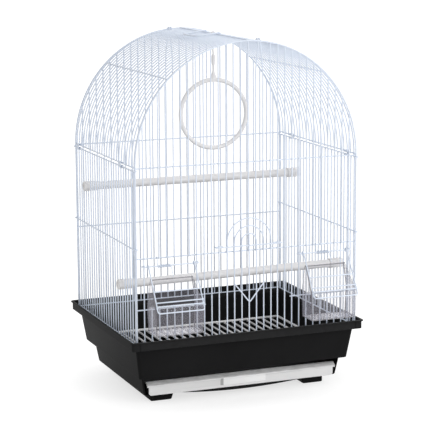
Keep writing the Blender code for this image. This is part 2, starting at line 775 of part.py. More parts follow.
# Guillotine door
def build_door(cage, surface):
    y = FRONT_Y - TOUCH
    outer_y = y - WELD
    inner_y = FRONT_Y + TOUCH
    low = RIM_Z + DOOR_FOOT_GAP + WIRE_R
    bar = MID_Z + DOOR_BAR_RISE
    spring = bar + DOOR_SPRING_RISE
    foot = low - WIRE_END
    mesh = bmesh.new()
    crown = spring + PITCH * cos(pi / 2 / DOOR_ARCH_STEPS)
    wire(mesh, [(0, y, foot), (0, y, crown)], DOOR_CENTRE_R, (0, 1, 0))
    made = solid("front_door", mesh, (0, y, low), cage, surface)
    mesh = bmesh.new()
    for count in range(1, DOOR_HALF_SPACES + 1):
        radius = count * PITCH
        top = arc((0, spring), radius, pi, 0, DOOR_ARCH_STEPS)
        points = [(-radius, y, foot)] + [(x, y, z) for x, z in top] + [(radius, y, foot)]
        wire(mesh, points, WIRE_R, (0, 1, 0))
    combine(made, mesh, "UNION")
    mesh = bmesh.new()
    guide = (DOOR_HALF_SPACES + 1) * PITCH
    near, far = guide - DOOR_LOOP_REACH, guide + DOOR_LOOP_REACH
    for z in (low, bar):
        half = [(near, inner_y), (far - WIRE_R, inner_y), (far, FRONT_Y), (far - WIRE_R, outer_y)]
        points = [(near, outer_y + TOUCH)] + half
        path = [(-px, py, z) for px, py in points] + [(px, py, z) for px, py in reversed(points)]
        wire(mesh, path, WIRE_R, (0, 0, 1))
    pull_z = bar - PULL_DROP
    side = 2 * PITCH + WIRE_END
    pull = [(-side, pull_z + PULL_HEIGHT), (-PULL_NOSE, pull_z), (PULL_NOSE, pull_z),
            (side, pull_z + PULL_HEIGHT)]
    wire(mesh, [(x, outer_y, z) for x, z in pull], WIRE_R, (0, 1, 0))
    combine(made, mesh, "UNION")


# Feeders
def cup_rings(centre):
    half = [BAY_HALF - gap for gap in (CUP_BASE_GAP, CUP_SIDE_GAP, CUP_SIDE_GAP, CUP_TOP_GAP)]
    deep = [CUP_BASE_DEPTH, CUP_NOSE_DEPTH, CUP_KNEE_DEPTH, CUP_TOP_DEPTH]
    rise = [0, CUP_NOSE_RISE, CUP_KNEE_RISE, CUP_TOP_RISE]
    back = CUP_BACK_Y
    outer = []
    for h, d, r in zip(half, deep, rise):
        outer.append(rounded_ring(h, back - d, back, CUP_Z + r, CUP_CORNER, SMALL_CORNER_STEPS))
    slope = (CUP_KNEE_DEPTH - CUP_TOP_DEPTH) / (CUP_TOP_RISE - CUP_KNEE_RISE)
    half.append(half[-1])
    deep.append(CUP_TOP_DEPTH - slope * CUP_HEADROOM)
    rise[0] = CUP_WALL
    rise.append(CUP_TOP_RISE + CUP_HEADROOM)
    # Above the back wall the hollow runs out through the back
    inner = []
    for step in (0, 1, 1, 2, 3, 4):
        through = len(inner) > 1
        far = back + CUT_OVERRUN if through else back - CUP_WALL
        corner = CUP_CORNER - CUP_WALL
        ring = rounded_ring(half[step] - CUP_WALL, back - deep[step] + CUP_WALL, far,
                            CUP_Z + rise[step] + (CLEARANCE if through else 0), corner,
                            SMALL_CORNER_STEPS)
        inner.append(ring)
    return [[(centre + x, y, z) for x, y, z in ring] for ring in outer], \
           [[(centre + x, y, z) for x, y, z in ring] for ring in inner]


def build_feeder(name, side, cage, surface):
    centre = side * FEEDER_X
    outer, inner = cup_rings(centre)
    origin = (centre, CUP_BACK_Y, CUP_Z)
    holder = empty(name + "_slide", origin, cage)
    mesh = bmesh.new()
    loft(mesh, outer)
    made = solid(name, mesh, origin, holder, surface)
    mesh = bmesh.new()
    loft(mesh, inner)
    combine(made, mesh, "DIFFERENCE")
    mesh = bmesh.new()
    low = SILL_Z + WIRE_R + CLEARANCE
    near = CUP_BACK_Y - CUP_WALL + CLEARANCE
    half = BAY_HALF - TONGUE_GAP
    box(mesh, (centre - half, near, low), (centre + half, near + TONGUE_REACH, low + CUP_WALL))
    combine(made, mesh, "UNION")


# Flaps, their rods and springs
def flap_outline(half):
    # The frame hangs straight down here, with its eyes curled round the hinge line
    eye = [(-half, y, z) for y, z in hoop((0, 0), TOUCH, -FLAP_EYE_START, pi, HOOK_STEPS)]
    corner = FLAP_CORNER
    low = corner - FLAP_LENGTH
    bend = arc((corner - half, low), corner, pi, pi * 3 / 2, SMALL_CORNER_STEPS)
    left = eye + [(x, eye[-1][1], z) for x, z in bend]
    return left + [(-x, y, z) for x, y, z in reversed(left)]


def build_flap(name, side, cage, surface):
    half = BAY_HALF - FLAP_SIDE_GAP
    mesh = bmesh.new()
    wire(mesh, flap_outline(half), WIRE_R, (1, 0, 0), ROUND_SIDES)
    made = solid(name, mesh, (0, 0, 0), surface=surface)
    mesh = bmesh.new()
    y = -TOUCH - WELD
    for share in FLAP_BAR_SHARES:
        z = -FLAP_LENGTH * share
        ends = [(-half - WIRE_END, y, z), (half + WIRE_END, y, z)]
        wire(mesh, ends, WIRE_R, (0, 1, 0), ROUND_SIDES)
    tool = combine(made, mesh, "UNION")
    for item in (made, tool):
        item.parent = cage
        item.location = Vector((side * FEEDER_X, HINGE_Y, HINGE_Z)) - cage.matrix_world.translation
        item.rotation_euler = (-FLAP_LEAN, 0, 0)


def build_flap_rod(name, side, cage, surface):
    # The rod's ends are wound round the two uprights beside the feeder's bay
    ends = sorted(side * PITCH * index for index in (FEEDER_INNER_INDEX, FEEDER_OUTER_INDEX))
    first = hoop((ends[0], FRONT_Y), TOUCH, -pi / 2 - ROD_EYE_SWEEP, -pi / 2, HOOK_STEPS)
    last = hoop((ends[1], FRONT_Y), TOUCH, -pi / 2, -pi / 2 + ROD_EYE_SWEEP, HOOK_STEPS)
    mesh = bmesh.new()
    wire(mesh, [(x, y, HINGE_Z) for x, y in first + last], WIRE_R, (0, 0, 1), ROUND_SIDES)
    solid(name, mesh, (side * FEEDER_X, HINGE_Y, HINGE_Z), cage, surface, radians(60))


def spring_points(start):
    # From the hook over the cross wire, down, round the rod and out along the flap
    wrap = WIRE_R + CLEARANCE + SPRING_WIRE_R
    cross_y = FRONT_Y + WELD
    tail = (start, cross_y + wrap, MID_Z - wrap)
    over = [(start, y, z) for y, z in hoop((cross_y, MID_Z), wrap, 0, pi, HOOK_STEPS)]
    points = [tail] + over + [(start, HINGE_Y + SPRING_R, HINGE_Z + SPRING_R * 2)]
    turns = SPRING_TURNS + (pi - FLAP_LEAN) / (2 * pi)
    steps = ceil(turns * SPRING_TURN_STEPS)
    for k in range(steps + 1):
        share = k / steps
        angle = -2 * pi * turns * share
        points.append((start + SPRING_LENGTH * share, HINGE_Y + SPRING_R * cos(angle),
                       HINGE_Z + SPRING_R * sin(angle)))
    end = points[-1]
    down = (0, -sin(FLAP_LEAN), -cos(FLAP_LEAN))
    for length in (SPRING_WIRE_R * 2, SPRING_LEG):
        points.append(tuple(e + d * length for e, d in zip(end, down)))
    return points


def least_gap(points):
    # Between the wire and itself, more than most of a turn further on
    places = [Vector(point) for point in points]
    gaps = []
    for i, first in enumerate(places):
        gaps += [(first - second).length for second in places[i + SPRING_TURN_STEPS - 1:]]
    return min(gaps) - 2 * SPRING_WIRE_R


def build_spring(name, start, cage, surface):
    points = spring_points(start)
    print(name, "least gap to itself, metres:", round(least_gap(points), 5))
    curve = bpy.data.curves.new(name, "CURVE")
    curve.dimensions = "3D"
    curve.bevel_depth = SPRING_WIRE_R
    curve.bevel_resolution = 1
    curve.use_fill_caps = True
    line = curve.splines.new("POLY")
    line.points.add(len(points[1:]))
    origin = Vector((start, HINGE_Y, HINGE_Z))
    for knot, point in zip(line.points, points):
        knot.co = (*(Vector(point) - origin), 1)
    curve.materials.append(surface)
    made = bpy.data.objects.new(name, curve)
    bpy.context.collection.objects.link(made)
    made.parent = cage
    made.location = origin - cage.matrix_world.translation


# Perches
def turned(mesh, profile, centre, sides):
    # Points (radius, x) turned round a line along X
    _, y, z = centre
    angles = [2 * pi * (k + 1 / 2) / sides for k in range(sides)]
    loft(mesh, [[(x, y + r * cos(a), z + r * sin(a)) for a in angles] for r, x in profile])


def build_perch(name, index, height, cage, rod_surface, cap_surface):
    y = CAGE_Y + index * SIDE_PITCH
    z = RIM_Z + height
    tip = HALF_WIDTH + PERCH_CAP_OVERHANG
    mouth = tip - PERCH_CAP_LENGTH
    socket = mouth + PERCH_SOCKET_DEPTH
    rod_end = socket - CLEARANCE
    mesh = bmesh.new()
    profile = [(PERCH_ROD_R, -rod_end), (PERCH_ROD_R, rod_end)]
    turned(mesh, profile, (0, y, z), PERCH_SIDES)
    solid(name + "_perch_rod", mesh, (0, y, z), cage, rod_surface, radians(40))
    bore = (PERCH_ROD_R + CLEARANCE) / cos(pi / PERCH_SIDES)
    rounding = (PERCH_CAP_R - bore) / 2
    for word, side in (("left", -1), ("right", 1)):
        outline = [(bore, socket), (bore, mouth), (PERCH_CAP_R, mouth),
                   (PERCH_CAP_R, tip - rounding), (PERCH_CAP_R - rounding, tip)]
        mesh = bmesh.new()
        turned(mesh, [(r, side * x) for r, x in outline], (0, y, z), PERCH_SIDES)
        bmesh.ops.recalc_face_normals(mesh, faces=mesh.faces)
        name_here = name + "_perch_cap_" + word
        made = solid(name_here, mesh, (side * HALF_WIDTH, y, z), cage, cap_surface, radians(40))
        mesh = bmesh.new()
        near = HALF_WIDTH - WIRE_R - CLEARANCE
        far = tip + CUT_OVERRUN
        gap = WIRE_R + CLEARANCE
        low, high = sorted((side * near, side * far))
        tall = PERCH_CAP_R + CUT_OVERRUN
        box(mesh, (low, y - gap, z - tall), (high, y + gap, z + tall))
        combine(made, mesh, "DIFFERENCE")


# Swing
def build_swing(cage, surface):
    y = CAGE_Y - SIDE_PITCH / 2
    pivot = (0, y, RIDGE_Z)
    holder = empty("swing_pivot", pivot, cage)
    ring_z = RIDGE_Z - SWING_DROP
    ring = arc((0, ring_z), SWING_RING_R, 0, 2 * pi, SWING_RING_STEPS)[1:]
    mesh = bmesh.new()
    wire(mesh, [(x, y, z) for x, z in ring], SWING_TUBE_R, (0, 1, 0), ROUND_SIDES, closed=True)
    made = solid("swing", mesh, pivot, holder, surface, radians(60))
    base = ring_z + SWING_RING_R
    bead = base + SWING_BEAD_START
    top = bead + SWING_BEAD_LENGTH
    profile = [(SWING_FLARE_R, base - SWING_TUBE_R / 2),
               (SWING_FLARE_WAIST_R, base + SWING_FLARE_WAIST_RISE),
               (SWING_STEM_R, base + SWING_FLARE_RISE), (SWING_STEM_R, bead),
               (SWING_BEAD_R, bead + SWING_BEAD_TAPER), (SWING_BEAD_R, top - SWING_BEAD_TAPER),
               (SWING_NECK_R, top)]
    mesh = bmesh.new()
    angles = [2 * pi * (k + 1 / 2) / SWING_STEM_SIDES for k in range(SWING_STEM_SIDES)]
    loft(mesh, [[(r * cos(a), y + min(r, SWING_TUBE_R) * sin(a), z) for a in angles] for r, z in profile])
    combine(made, mesh, "UNION")
    wrap = WIRE_R + CLEARANCE + SWING_HOOK_R
    hook = [(0, top - SWING_STEM_R), (0, top + SWING_STEM_R), (-wrap, RIDGE_Z - wrap * 2)]
    hook += hoop((0, RIDGE_Z), wrap, pi, -pi / 4, HOOK_STEPS)
    mesh = bmesh.new()
    wire(mesh, [(x, y, z) for x, z in hook], SWING_HOOK_R, (0, 1, 0), ROUND_SIDES)
    combine(made, mesh, "UNION")


# Carrying handle
def build_handle(cage, surface):
    wrap = WIRE_R + CLEARANCE + HANDLE_R
    rest_x = HANDLE_REACH
    rest_z = ROOF_Z + sqrt(ARC_OUTER_R ** 2 - rest_x ** 2) + WIRE_R + HANDLE_R + CLEARANCE
    half = HANDLE_SPACES * SIDE_PITCH / 2
    eye = hoop((0, RIDGE_Z), wrap, pi / 2 - HANDLE_TAIL, pi / 2, HOOK_STEPS)
    slope = (rest_z - RIDGE_Z - wrap) / rest_x
    points = [(x, CAGE_Y - half, z) for x, z in eye]
    turn = HANDLE_CORNER
    for along, across in arc((rest_x - turn, turn - half), turn, -pi / 2, 0, CORNER_STEPS):
        points.append((-along, CAGE_Y + across, RIDGE_Z + wrap + slope * along))
    points += [(x, 2 * CAGE_Y - y, z) for x, y, z in reversed(points)]
    mesh = bmesh.new()
    wire(mesh, points, HANDLE_R, (0, 1, 0), ROUND_SIDES)
    holder = empty("handle_pivot", (0, CAGE_Y, RIDGE_Z), cage)
    solid("top_handle", mesh, (0, CAGE_Y, RIDGE_Z), holder, surface, radians(60))


def build_cage_fittings(cage, wire_surface, plastic, clear, steel):
    for word, side, shift in (("left", -1, LEFT_SPRING_SHIFT), ("right", 1, RIGHT_SPRING_SHIFT)):
        build_feeder(word + "_feeder", side, cage, clear)
        build_flap(word + "_flap", side, cage, wire_surface)
        build_flap_rod(word + "_flap_rod", side, cage, wire_surface)
        build_spring(word + "_flap_spring", side * FEEDER_X + shift, cage, steel)
    build_perch("upper", UPPER_PERCH_INDEX, UPPER_PERCH_HEIGHT, cage, plastic, plastic)
    build_perch("lower", LOWER_PERCH_INDEX, LOWER_PERCH_HEIGHT, cage, plastic, plastic)
    build_swing(cage, plastic)
    build_handle(cage, wire_surface)


def build_all():
    clear_scene()
    wire_surface = white_wire()
    black = black_plastic()
    plastic = white_plastic()
    steel = bright_steel()
    build_basin(black)
    build_drawer(pale_plastic(), black)
    build_grille(wire_surface)
    cage = empty("cage", (0, CAGE_Y, CAGE_Z))
    build_end_panel("front_panel", FRONT_Y, 1, 1, True, cage, wire_surface)
    build_end_panel("back_panel", BACK_Y, -1, -1, False, cage, wire_surface)
    build_side_panel("left_panel", -1, cage, wire_surface)
    build_side_panel("right_panel", 1, cage, wire_surface)
    build_roof(cage, wire_surface)
    build_clips(cage, steel)
    build_door(cage, wire_surface)
    build_cage_fittings(cage, wire_surface, plastic, clear_plastic(), steel)


build_all()
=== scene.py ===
import json
from math import atan2, ceil, cos, pi, radians, sin, sqrt
import bmesh
import bpy
from mathutils import Matrix, Vector


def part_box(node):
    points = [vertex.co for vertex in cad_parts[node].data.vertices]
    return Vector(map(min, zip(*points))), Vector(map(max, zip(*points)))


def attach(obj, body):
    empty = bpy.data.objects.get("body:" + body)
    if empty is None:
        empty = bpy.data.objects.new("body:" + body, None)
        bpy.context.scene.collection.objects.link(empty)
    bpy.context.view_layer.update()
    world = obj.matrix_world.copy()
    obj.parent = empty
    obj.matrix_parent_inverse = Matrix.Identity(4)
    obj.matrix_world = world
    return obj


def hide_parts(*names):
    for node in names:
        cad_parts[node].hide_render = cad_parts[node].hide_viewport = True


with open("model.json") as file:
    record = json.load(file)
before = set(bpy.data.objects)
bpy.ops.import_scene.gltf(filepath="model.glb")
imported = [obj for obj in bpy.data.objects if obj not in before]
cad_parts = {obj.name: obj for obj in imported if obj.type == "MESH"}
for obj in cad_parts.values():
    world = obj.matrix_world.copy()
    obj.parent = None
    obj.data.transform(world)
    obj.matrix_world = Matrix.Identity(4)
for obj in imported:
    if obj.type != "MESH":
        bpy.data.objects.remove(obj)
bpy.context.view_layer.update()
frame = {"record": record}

# The photograph's camera
CAMERA_PLACE = (-0.9013, -2.2536, 0.6849)
CAMERA_YAW = radians(-21.721)
CAMERA_PITCH = radians(-10.334)
CAMERA_ROLL = radians(-0.306)
CAMERA_LENS = 143.27
SENSOR = 36

# Wires: radii, the step to a wire that is welded on, and to one that slides or turns on it
WIRE_R = 0.00092
POST_R = 0.00112
WELD = 0.00175
TOUCH = 0.0025
END_OVERHANG = 0.0011

# How fine the curves are, and how far tips, bends and corners may reach
WIRE_SIDES = 10
ARCH_STEPS = 60
ROOF_STEPS = 56
TIP_FACE_SHARE = 0.72
TIP_DOME_SHARE = 0.45
PATH_BEND_SHARE = 0.48
EDGE_BEND_SHARE = 0.45
DEPTH_PER_CORNER = 2.2
LEAST_CORNER = 0.0002

# The solids: wire radius, clearance, how far in from their boxes the posts and the ridge lie, roof steps
SOLID_WIRE_R = 0.0011
CLEARANCE = 0.0003
PANEL_EDGE = 0.0013
RIDGE_EDGE = 0.0011
SOLID_ROOF_STEPS = 12

# Angles above which an edge stays sharp, and above which soften bevels it
SHARP = radians(40)
BASIN_SHARP = radians(35)
CLEAR_SHARP = radians(30)
BEVELLED = radians(35)

# The colour sockets of a mix node, which follow those for numbers and vectors
MIX_FIRST, MIX_SECOND, MIX_RESULT = 6, 7, 2

# Numbers of wires and their places above the wire cage's foot
FRONT_SPACES = 30
GRILLE_SPACES = 24
SIDE_SPACES = 24
SIDE_PITCH = 0.01065
BOTTOM_RISE = 0.0018
MID_RISE = 0.1230
SHOULDER_RISE = 0.2467
SIDE_MID_RISE = 0.1366
SIDE_TOP_RISE = 0.2437
ROOF_RISE = 0.2482
SILL_RISE = 0.0521
DOOR_SPACES = 3
BAY_INNER = 7
BAY_OUTER = 14
SILL_INNER = 6
HOOK_PAIR = (1, 2)

# The flaps' hinge below the middle wire, their lean, and where each spring starts from its bay's middle
HINGE_DROP = 0.0105
FLAP_LEAN = radians(33)
LEFT_SPRING_SHIFT = -0.0190
RIGHT_SPRING_SHIFT = -0.0121

# The lower perch has slid down its wire on the left
LOWER_PERCH_TILT = 0.0105
PERCH_TILT_FROM = 0.075

# Lamps: name, place, width and power
LAMPS = (("key", (1.3, -2.4, 1.2), 1.6, 32),
         ("fill", (-1.0, -2.6, 1.0), 1.6, 6),
         ("top", (0.3, 0.6, 2.3), 1.2, 8),
         ("rim", (1.2, 2.0, 1.1), 1.5, 10))
LAMP_AIM = Vector((0, 0, 0.22))
WORLD_LEVEL = 0.5
FLOOR_REACH = 20
FLOOR_DROP = 0.0002


# Places read from the frame
class Cage:
    low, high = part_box("front_panel")
    roof_low, roof_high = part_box("roof_panel")
    half = (high.x - low.x) / 2 - PANEL_EDGE
    pitch = half * 2 / FRONT_SPACES
    foot = low.z
    front = low.y + PANEL_EDGE
    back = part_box("back_panel")[1].y - PANEL_EDGE
    middle = (roof_low.y + roof_high.y) / 2
    bottom_z = foot + BOTTOM_RISE
    mid_z = foot + MID_RISE
    shoulder_z = foot + SHOULDER_RISE
    side_mid_z = foot + SIDE_MID_RISE
    side_top_z = foot + SIDE_TOP_RISE
    roof_z = foot + ROOF_RISE
    sill_z = foot + SILL_RISE
    ridge_z = roof_high.z - RIDGE_EDGE
    arc_r = ridge_z - roof_z - WELD
    arc_outer = half / sqrt(cos(pi / SOLID_ROOF_STEPS / 2))


BODY_OF = {node: body
           for body, nodes in frame["record"]["behaviour"]["bodies"].items() for node in nodes}


# Shader building
class Number:
    """A varying number among shader nodes, with the arithmetic that the finishes use."""

    def __init__(self, shading, socket):
        self.shading = shading
        self.socket = socket

    def joined(self, operation, first, second):
        node = self.shading.node("ShaderNodeMath", {"operation": operation}, {0: first, 1: second})
        return Number(self.shading, node.outputs[0])

    def __add__(self, other):
        return self.joined("ADD", self, other)

    def __radd__(self, other):
        return self.joined("ADD", other, self)

    def __sub__(self, other):
        return self.joined("SUBTRACT", self, other)

    def __rsub__(self, other):
        return self.joined("SUBTRACT", other, self)

    def __mul__(self, other):
        return self.joined("MULTIPLY", self, other)

    def __rmul__(self, other):
        return self.joined("MULTIPLY", other, self)

    def __pow__(self, other):
        return self.joined("POWER", self, other)

    def below(self, limit):
        return self.joined("LESS_THAN", self, limit)

    def above(self, limit):
        return self.joined("GREATER_THAN", self, limit)

    def or_larger(self, other):
        return self.joined("MAXIMUM", self, other)

    def clipped(self):
        node = self.shading.node("ShaderNodeClamp", {}, {"Value": self})
        return Number(self.shading, node.outputs[0])


class Shading:
    """The shader nodes of a material or of the world, with one way to add to them."""

    def __init__(self, tree):
        self.tree = tree

    def node(self, kind, settings, sockets):
        made = self.tree.nodes.new(kind)
        for setting, value in settings.items():
            if setting == "stops":
                self.set_stops(made.color_ramp, value)
            else:
                setattr(made, setting, value)
        for socket, value in sockets.items():
            self.link(made.inputs[socket], value)
        return made

    def set_stops(self, ramp, stops):
        while len(ramp.elements) < len(stops):
            ramp.elements.new(1)
        for element, (place, grey) in zip(ramp.elements, stops):
            element.position = place
            element.color = (grey, grey, grey, 1)

    def link(self, socket, value):
        if isinstance(value, Number):
            value = value.socket
        if isinstance(value, bpy.types.NodeSocket):
            self.tree.links.new(value, socket)
        else:
            socket.default_value = value

    def seen_white(self):
        # One for the rays that show the background: straight, mirrored or through glass
        rays = self.node("ShaderNodeLightPath", {}, {}).outputs
        seen = Number(self, rays["Is Camera Ray"])
        for kind in ("Is Glossy Ray", "Is Transmission Ray"):
            seen = seen.or_larger(Number(self, rays[kind]))
        return seen


class Finish(Shading):
    """One procedural material on a Principled shader."""

    def __init__(self, name, **constants):
        self.material = bpy.data.materials.new(name)
        self.material.use_nodes = True
        super().__init__(self.material.node_tree)
        self.shader = self.tree.nodes["Principled BSDF"]
        for socket, value in constants.items():
            self.shader.inputs[socket.replace("_", " ")].default_value = value

    def feed(self, socket, value):
        self.link(self.shader.inputs[socket], value)

    def place(self):
        return self.node("ShaderNodeTexCoord", {}, {}).outputs["Object"]

    def axis(self, letter):
        split = self.node("ShaderNodeSeparateXYZ", {}, {"Vector": self.place()})
        return Number(self, split.outputs[letter])

    def stretched(self, scale):
        node = self.node("ShaderNodeMapping", {}, {"Vector": self.place(), "Scale": scale})
        return node.outputs[0]

    def noise(self, scale, detail=3, where=None):
        sockets = {"Vector": where or self.place(), "Scale": scale, "Detail": detail, "Roughness": 0.55}
        return Number(self, self.node("ShaderNodeTexNoise", {}, sockets).outputs["Fac"])

    def curve(self, value, stops):
        node = self.node("ShaderNodeValToRGB", {"stops": stops}, {"Fac": value})
        return Number(self, node.outputs["Color"])

    def blend(self, factor, first, second):
        node = self.node("ShaderNodeMix", {"data_type": "RGBA"}, {"Factor": factor})
        node.inputs[MIX_FIRST].default_value = (*first, 1)
        node.inputs[MIX_SECOND].default_value = (*second, 1)
        return node.outputs[MIX_RESULT]

    def edges(self):
        return Number(self, self.node("ShaderNodeNewGeometry", {}, {}).outputs["Pointiness"])

    def relief(self, height, strength, distance):
        sockets = {"Height": height, "Strength": strength, "Distance": distance}
        self.feed("Normal", self.node("ShaderNodeBump", {}, sockets).outputs[0])


def white_coat():
    # Powder coat on wire: slightly uneven film, tiny orange peel, a cool white
    finish = Finish("white_coat", Coat_Weight=0.15, Coat_Roughness=0.2, IOR=1.5)
    film = finish.noise(260, 4)
    finish.feed("Base Color", finish.blend(film, (0.71, 0.78, 0.90), (0.80, 0.86, 0.96)))
    finish.feed("Roughness", 0.34 + 0.16 * finish.noise(900, 2))
    finish.relief(finish.noise(1400, 2), 0.12, 0.0002)
    return finish.material


def grille_coat():
    # The bars of the floor grille: a warmer white film, set paler than the wires as painted light
    # against the shade inside the basin
    finish = Finish("grille_coat", Coat_Weight=0.1, Coat_Roughness=0.3, IOR=1.5)
    film = finish.noise(180, 4)
    finish.feed("Base Color", finish.blend(film, (0.93, 0.92, 0.92), (0.98, 0.97, 0.97)))
    finish.feed("Roughness", 0.38 + 0.14 * finish.noise(800, 2))
    finish.relief(finish.noise(1200, 2), 0.12, 0.0002)
    return finish.material


def satin_black():
    # Moulded black plastic: fine spark-eroded grain, softly rubbed edges, and a flange painted a little
    # paler as a painted reflection
    finish = Finish("satin_black", IOR=1.49, Specular_IOR_Level=0.008)
    cloud = finish.noise(14, 4)
    rubbed = finish.curve(finish.edges(), [(0.50, 0), (0.58, 1)]) * finish.noise(120, 3)
    decimetres_up = finish.axis("Z") * 10
    # Painted reflection: the band of the flange is painted a little paler than the body below it
    flange = finish.curve(decimetres_up, [(0.84, 0), (0.86, 1)])
    wear_and_flange_sheen = (cloud * 0.25 + rubbed * 0.3 + flange * 0.2).clipped()
    finish.feed("Base Color", finish.blend(wear_and_flange_sheen, (0.009, 0.009, 0.0093), (0.040, 0.040, 0.041)))
    finish.feed("Roughness", (0.26 + 0.12 * cloud + 0.10 * finish.noise(700, 2)).clipped())
    finish.relief(finish.noise(2600, 3), 0.10, 0.0002)
    return finish.material


def pale_moulding(pad_left, pad_right, pad_slope, pad_z, slope_z):
    # Pale plastic: a painted highlight on the grip pad, painted shade at the pad's left end, and painted
    # shade with dust mottling on the lip's slope
    finish = Finish("pale_moulding", IOR=1.49)
    cloud = finish.noise(22, 4)
    dust = finish.noise(260, 4, where=finish.stretched((0.25, 1, 1)))
    across, height = finish.axis("X"), finish.axis("Z")
    slope = height.above(slope_z)
    band = height.above(pad_z) * (1 - slope)
    pad = across.above(pad_left) * across.below(pad_right) * band
    end = across.above(pad_left - pad_slope) * across.below(pad_left) * band
    # Painted light: the pad is painted paler as a highlight, its left end and the slope darker as shade;
    # the dust noise mottles the slope
    level = 0.74 + 0.06 * cloud + pad * 0.14 - end * 0.34 - slope * (0.12 + 0.6 * (dust - 0.5))
    finish.feed("Base Color", finish.blend(level.clipped(), (0, 0, 0), (1, 1, 1)))
    finish.feed("Roughness", 0.38 + 0.14 * finish.noise(500, 3))
    finish.relief(finish.noise(2200, 3), 0.08, 0.0002)
    return finish.material


def white_moulding():
    # White plastic of the perches and the swing, with a faint grain along the bars
    finish = Finish("white_moulding", IOR=1.49)
    cloud = finish.noise(40, 4)
    grain = finish.noise(90, 3, where=finish.stretched((0.15, 1, 1)))
    tone = (cloud * 0.6 + grain * 0.4).clipped()
    finish.feed("Base Color", finish.blend(tone, (0.80, 0.785, 0.785), (0.90, 0.885, 0.88)))
    finish.feed("Roughness", 0.36 + 0.14 * finish.noise(600, 3))
    finish.relief(grain, 0.10, 0.0003)
    return finish.material


def clear_moulding():
    # Clear styrene: nearly all see-through when looked at square on, denser at grazing walls
    finish = Finish("clear_moulding", IOR=1.57, Specular_IOR_Level=0.6)
    layer = finish.node("ShaderNodeLayerWeight", {}, {"Blend": 0.35})
    facing = Number(finish, layer.outputs["Facing"])
    haze = finish.noise(60, 3)
    finish.feed("Base Color", finish.blend(haze, (0.58, 0.56, 0.64), (0.70, 0.69, 0.77)))
    finish.feed("Roughness", 0.05 + 0.06 * haze)
    finish.feed("Alpha", (0.04 + 0.60 * facing ** 1.7 + 0.03 * haze).clipped())
    return finish.material


def clear_edge():
    # The same styrene along its corners, where one looks through more of it
    finish = Finish("clear_edge", IOR=1.57, Specular_IOR_Level=0.6)
    haze = finish.noise(90, 3)
    finish.feed("Base Color", finish.blend(haze, (0.17, 0.16, 0.18), (0.29, 0.28, 0.31)))
    finish.feed("Roughness", 0.08 + 0.06 * haze)
    finish.feed("Alpha", (0.70 + 0.2 * haze).clipped())
    return finish.material


def bright_wire():
    # Drawn spring wire, plated, with fine lines along it
    finish = Finish("bright_wire", Metallic=0.35)
    drawn = finish.noise(500, 3, where=finish.stretched((1, 1, 0.2)))
    finish.feed("Base Color", finish.blend(drawn, (0.56, 0.63, 0.74), (0.70, 0.77, 0.88)))
    finish.feed("Roughness", 0.28 + 0.16 * drawn)
    return finish.material


# Mesh building
def bridge(mesh, lower, upper):
    count = len(lower)
    for k in range(count):
        after = (k + 1) % count
        mesh.faces.new((lower[k], lower[after], upper[after], upper[k]))


def loft(mesh, rings, capped=True):
    made = [[mesh.verts.new(point) for point in ring] for ring in rings]
    for lower, upper in zip(made, made[1:]):
        bridge(mesh, lower, upper)
    if capped:
        mesh.faces.new(reversed(made[0]))
        mesh.faces.new(made[-1])
    return made


def round_angles(count):
    return [2 * pi * k / count for k in range(count)]


def arc(centre, radius, start, end, steps):
    angles = [start + (end - start) * k / steps for k in range(steps + 1)]
    return [(centre[0] + radius * cos(a), centre[1] + radius * sin(a)) for a in angles]


def tube(mesh, points, radius, sides=WIRE_SIDES, closed=False):
    # A round wire along the points, with mitred joints and slightly domed ends
    points = [Vector(point) for point in points]
    count = len(points)
    runs = count if closed else count - 1
    ways = [(points[(i + 1) % count] - points[i]).normalized() for i in range(runs)]
    arriving = ways[-1] if closed else ways[0]
    side = arriving.orthogonal().normalized()
    across = arriving.cross(side)
    offsets = [radius * (cos(a) * side + sin(a) * across) for a in round_angles(sides)]
    rings = []
    for i, point in enumerate(points):
        leaving = ways[i] if i < runs else arriving
        middle = (arriving + leaving).normalized()
        slope = arriving.dot(middle)
        ring = [point + o - arriving * (o.dot(middle) / slope) for o in offsets]
        turn = arriving.rotation_difference(leaving)
        offsets = [turn @ o for o in offsets]
        arriving = leaving
        if closed or 0 < i < count - 1:
            rings.append(ring)
            continue
        dome = leaving * (radius * TIP_DOME_SHARE) * (1 if i else -1)
        face = [point + (corner - point) * TIP_FACE_SHARE for corner in ring]
        shoulder = [corner - dome for corner in ring]
        rings += [shoulder, face] if i else [face, shoulder]
    made = loft(mesh, rings, capped=not closed)
    if closed:
        bridge(mesh, made[-1], made[0])


def bend(first, corner, last, steps):
    # A short curve from first to last, drawn towards the corner
    shares = [k / steps for k in range(steps + 1)]
    return [first * (1 - t) ** 2 + corner * (2 * t * (1 - t)) + last * t ** 2 for t in shares]


def rounded(corners, radius, steps=5):
    # A path whose inner corners are turned into short even curves
    points = [Vector(corner) for corner in corners]
    path = [points[0]]
    for before, here, after in zip(points, points[1:], points[2:]):
        back, on = before - here, after - here
        reach = min(radius, back.length * PATH_BEND_SHARE, on.length * PATH_BEND_SHARE)
        path += bend(here + back.normalized() * reach, here, here + on.normalized() * reach, steps)
    return path + [points[-1]]


def softened(rows, size, steps=3):
    # Rows of ring sizes, with each edge between two of them turned into a small curve
    points = [Vector(row) for row in rows]
    path = [points[0]]
    for before, here, after in zip(points, points[1:], points[2:]):
        first, last = [here + way.normalized() * min(size, way.length * EDGE_BEND_SHARE)
                       for way in (before - here, after - here)]
        path += bend(first, here, last, steps)
    return path + [points[-1]]


def ring_points(centre, half, front, back, z, corner, steps=6):
    # A level rectangle with round corners, counter-clockwise from its front right
    corner = max(min(corner, half, (back - front) / DEPTH_PER_CORNER), LEAST_CORNER)
    ring = []
    for k, (x, y) in enumerate(((half, front), (half, back), (-half, back), (-half, front))):
        middle = (x - corner if x > 0 else x + corner, y - corner if y == back else y + corner)
        start = (k - 1) * pi / 2
        ring += [(centre + px, py, z) for px, py in arc(middle, corner, start, start + pi / 2, steps)]
    return ring


def smooth(data, sharp):
    data.shade_smooth()
    data.set_sharp_from_angle(angle=sharp)


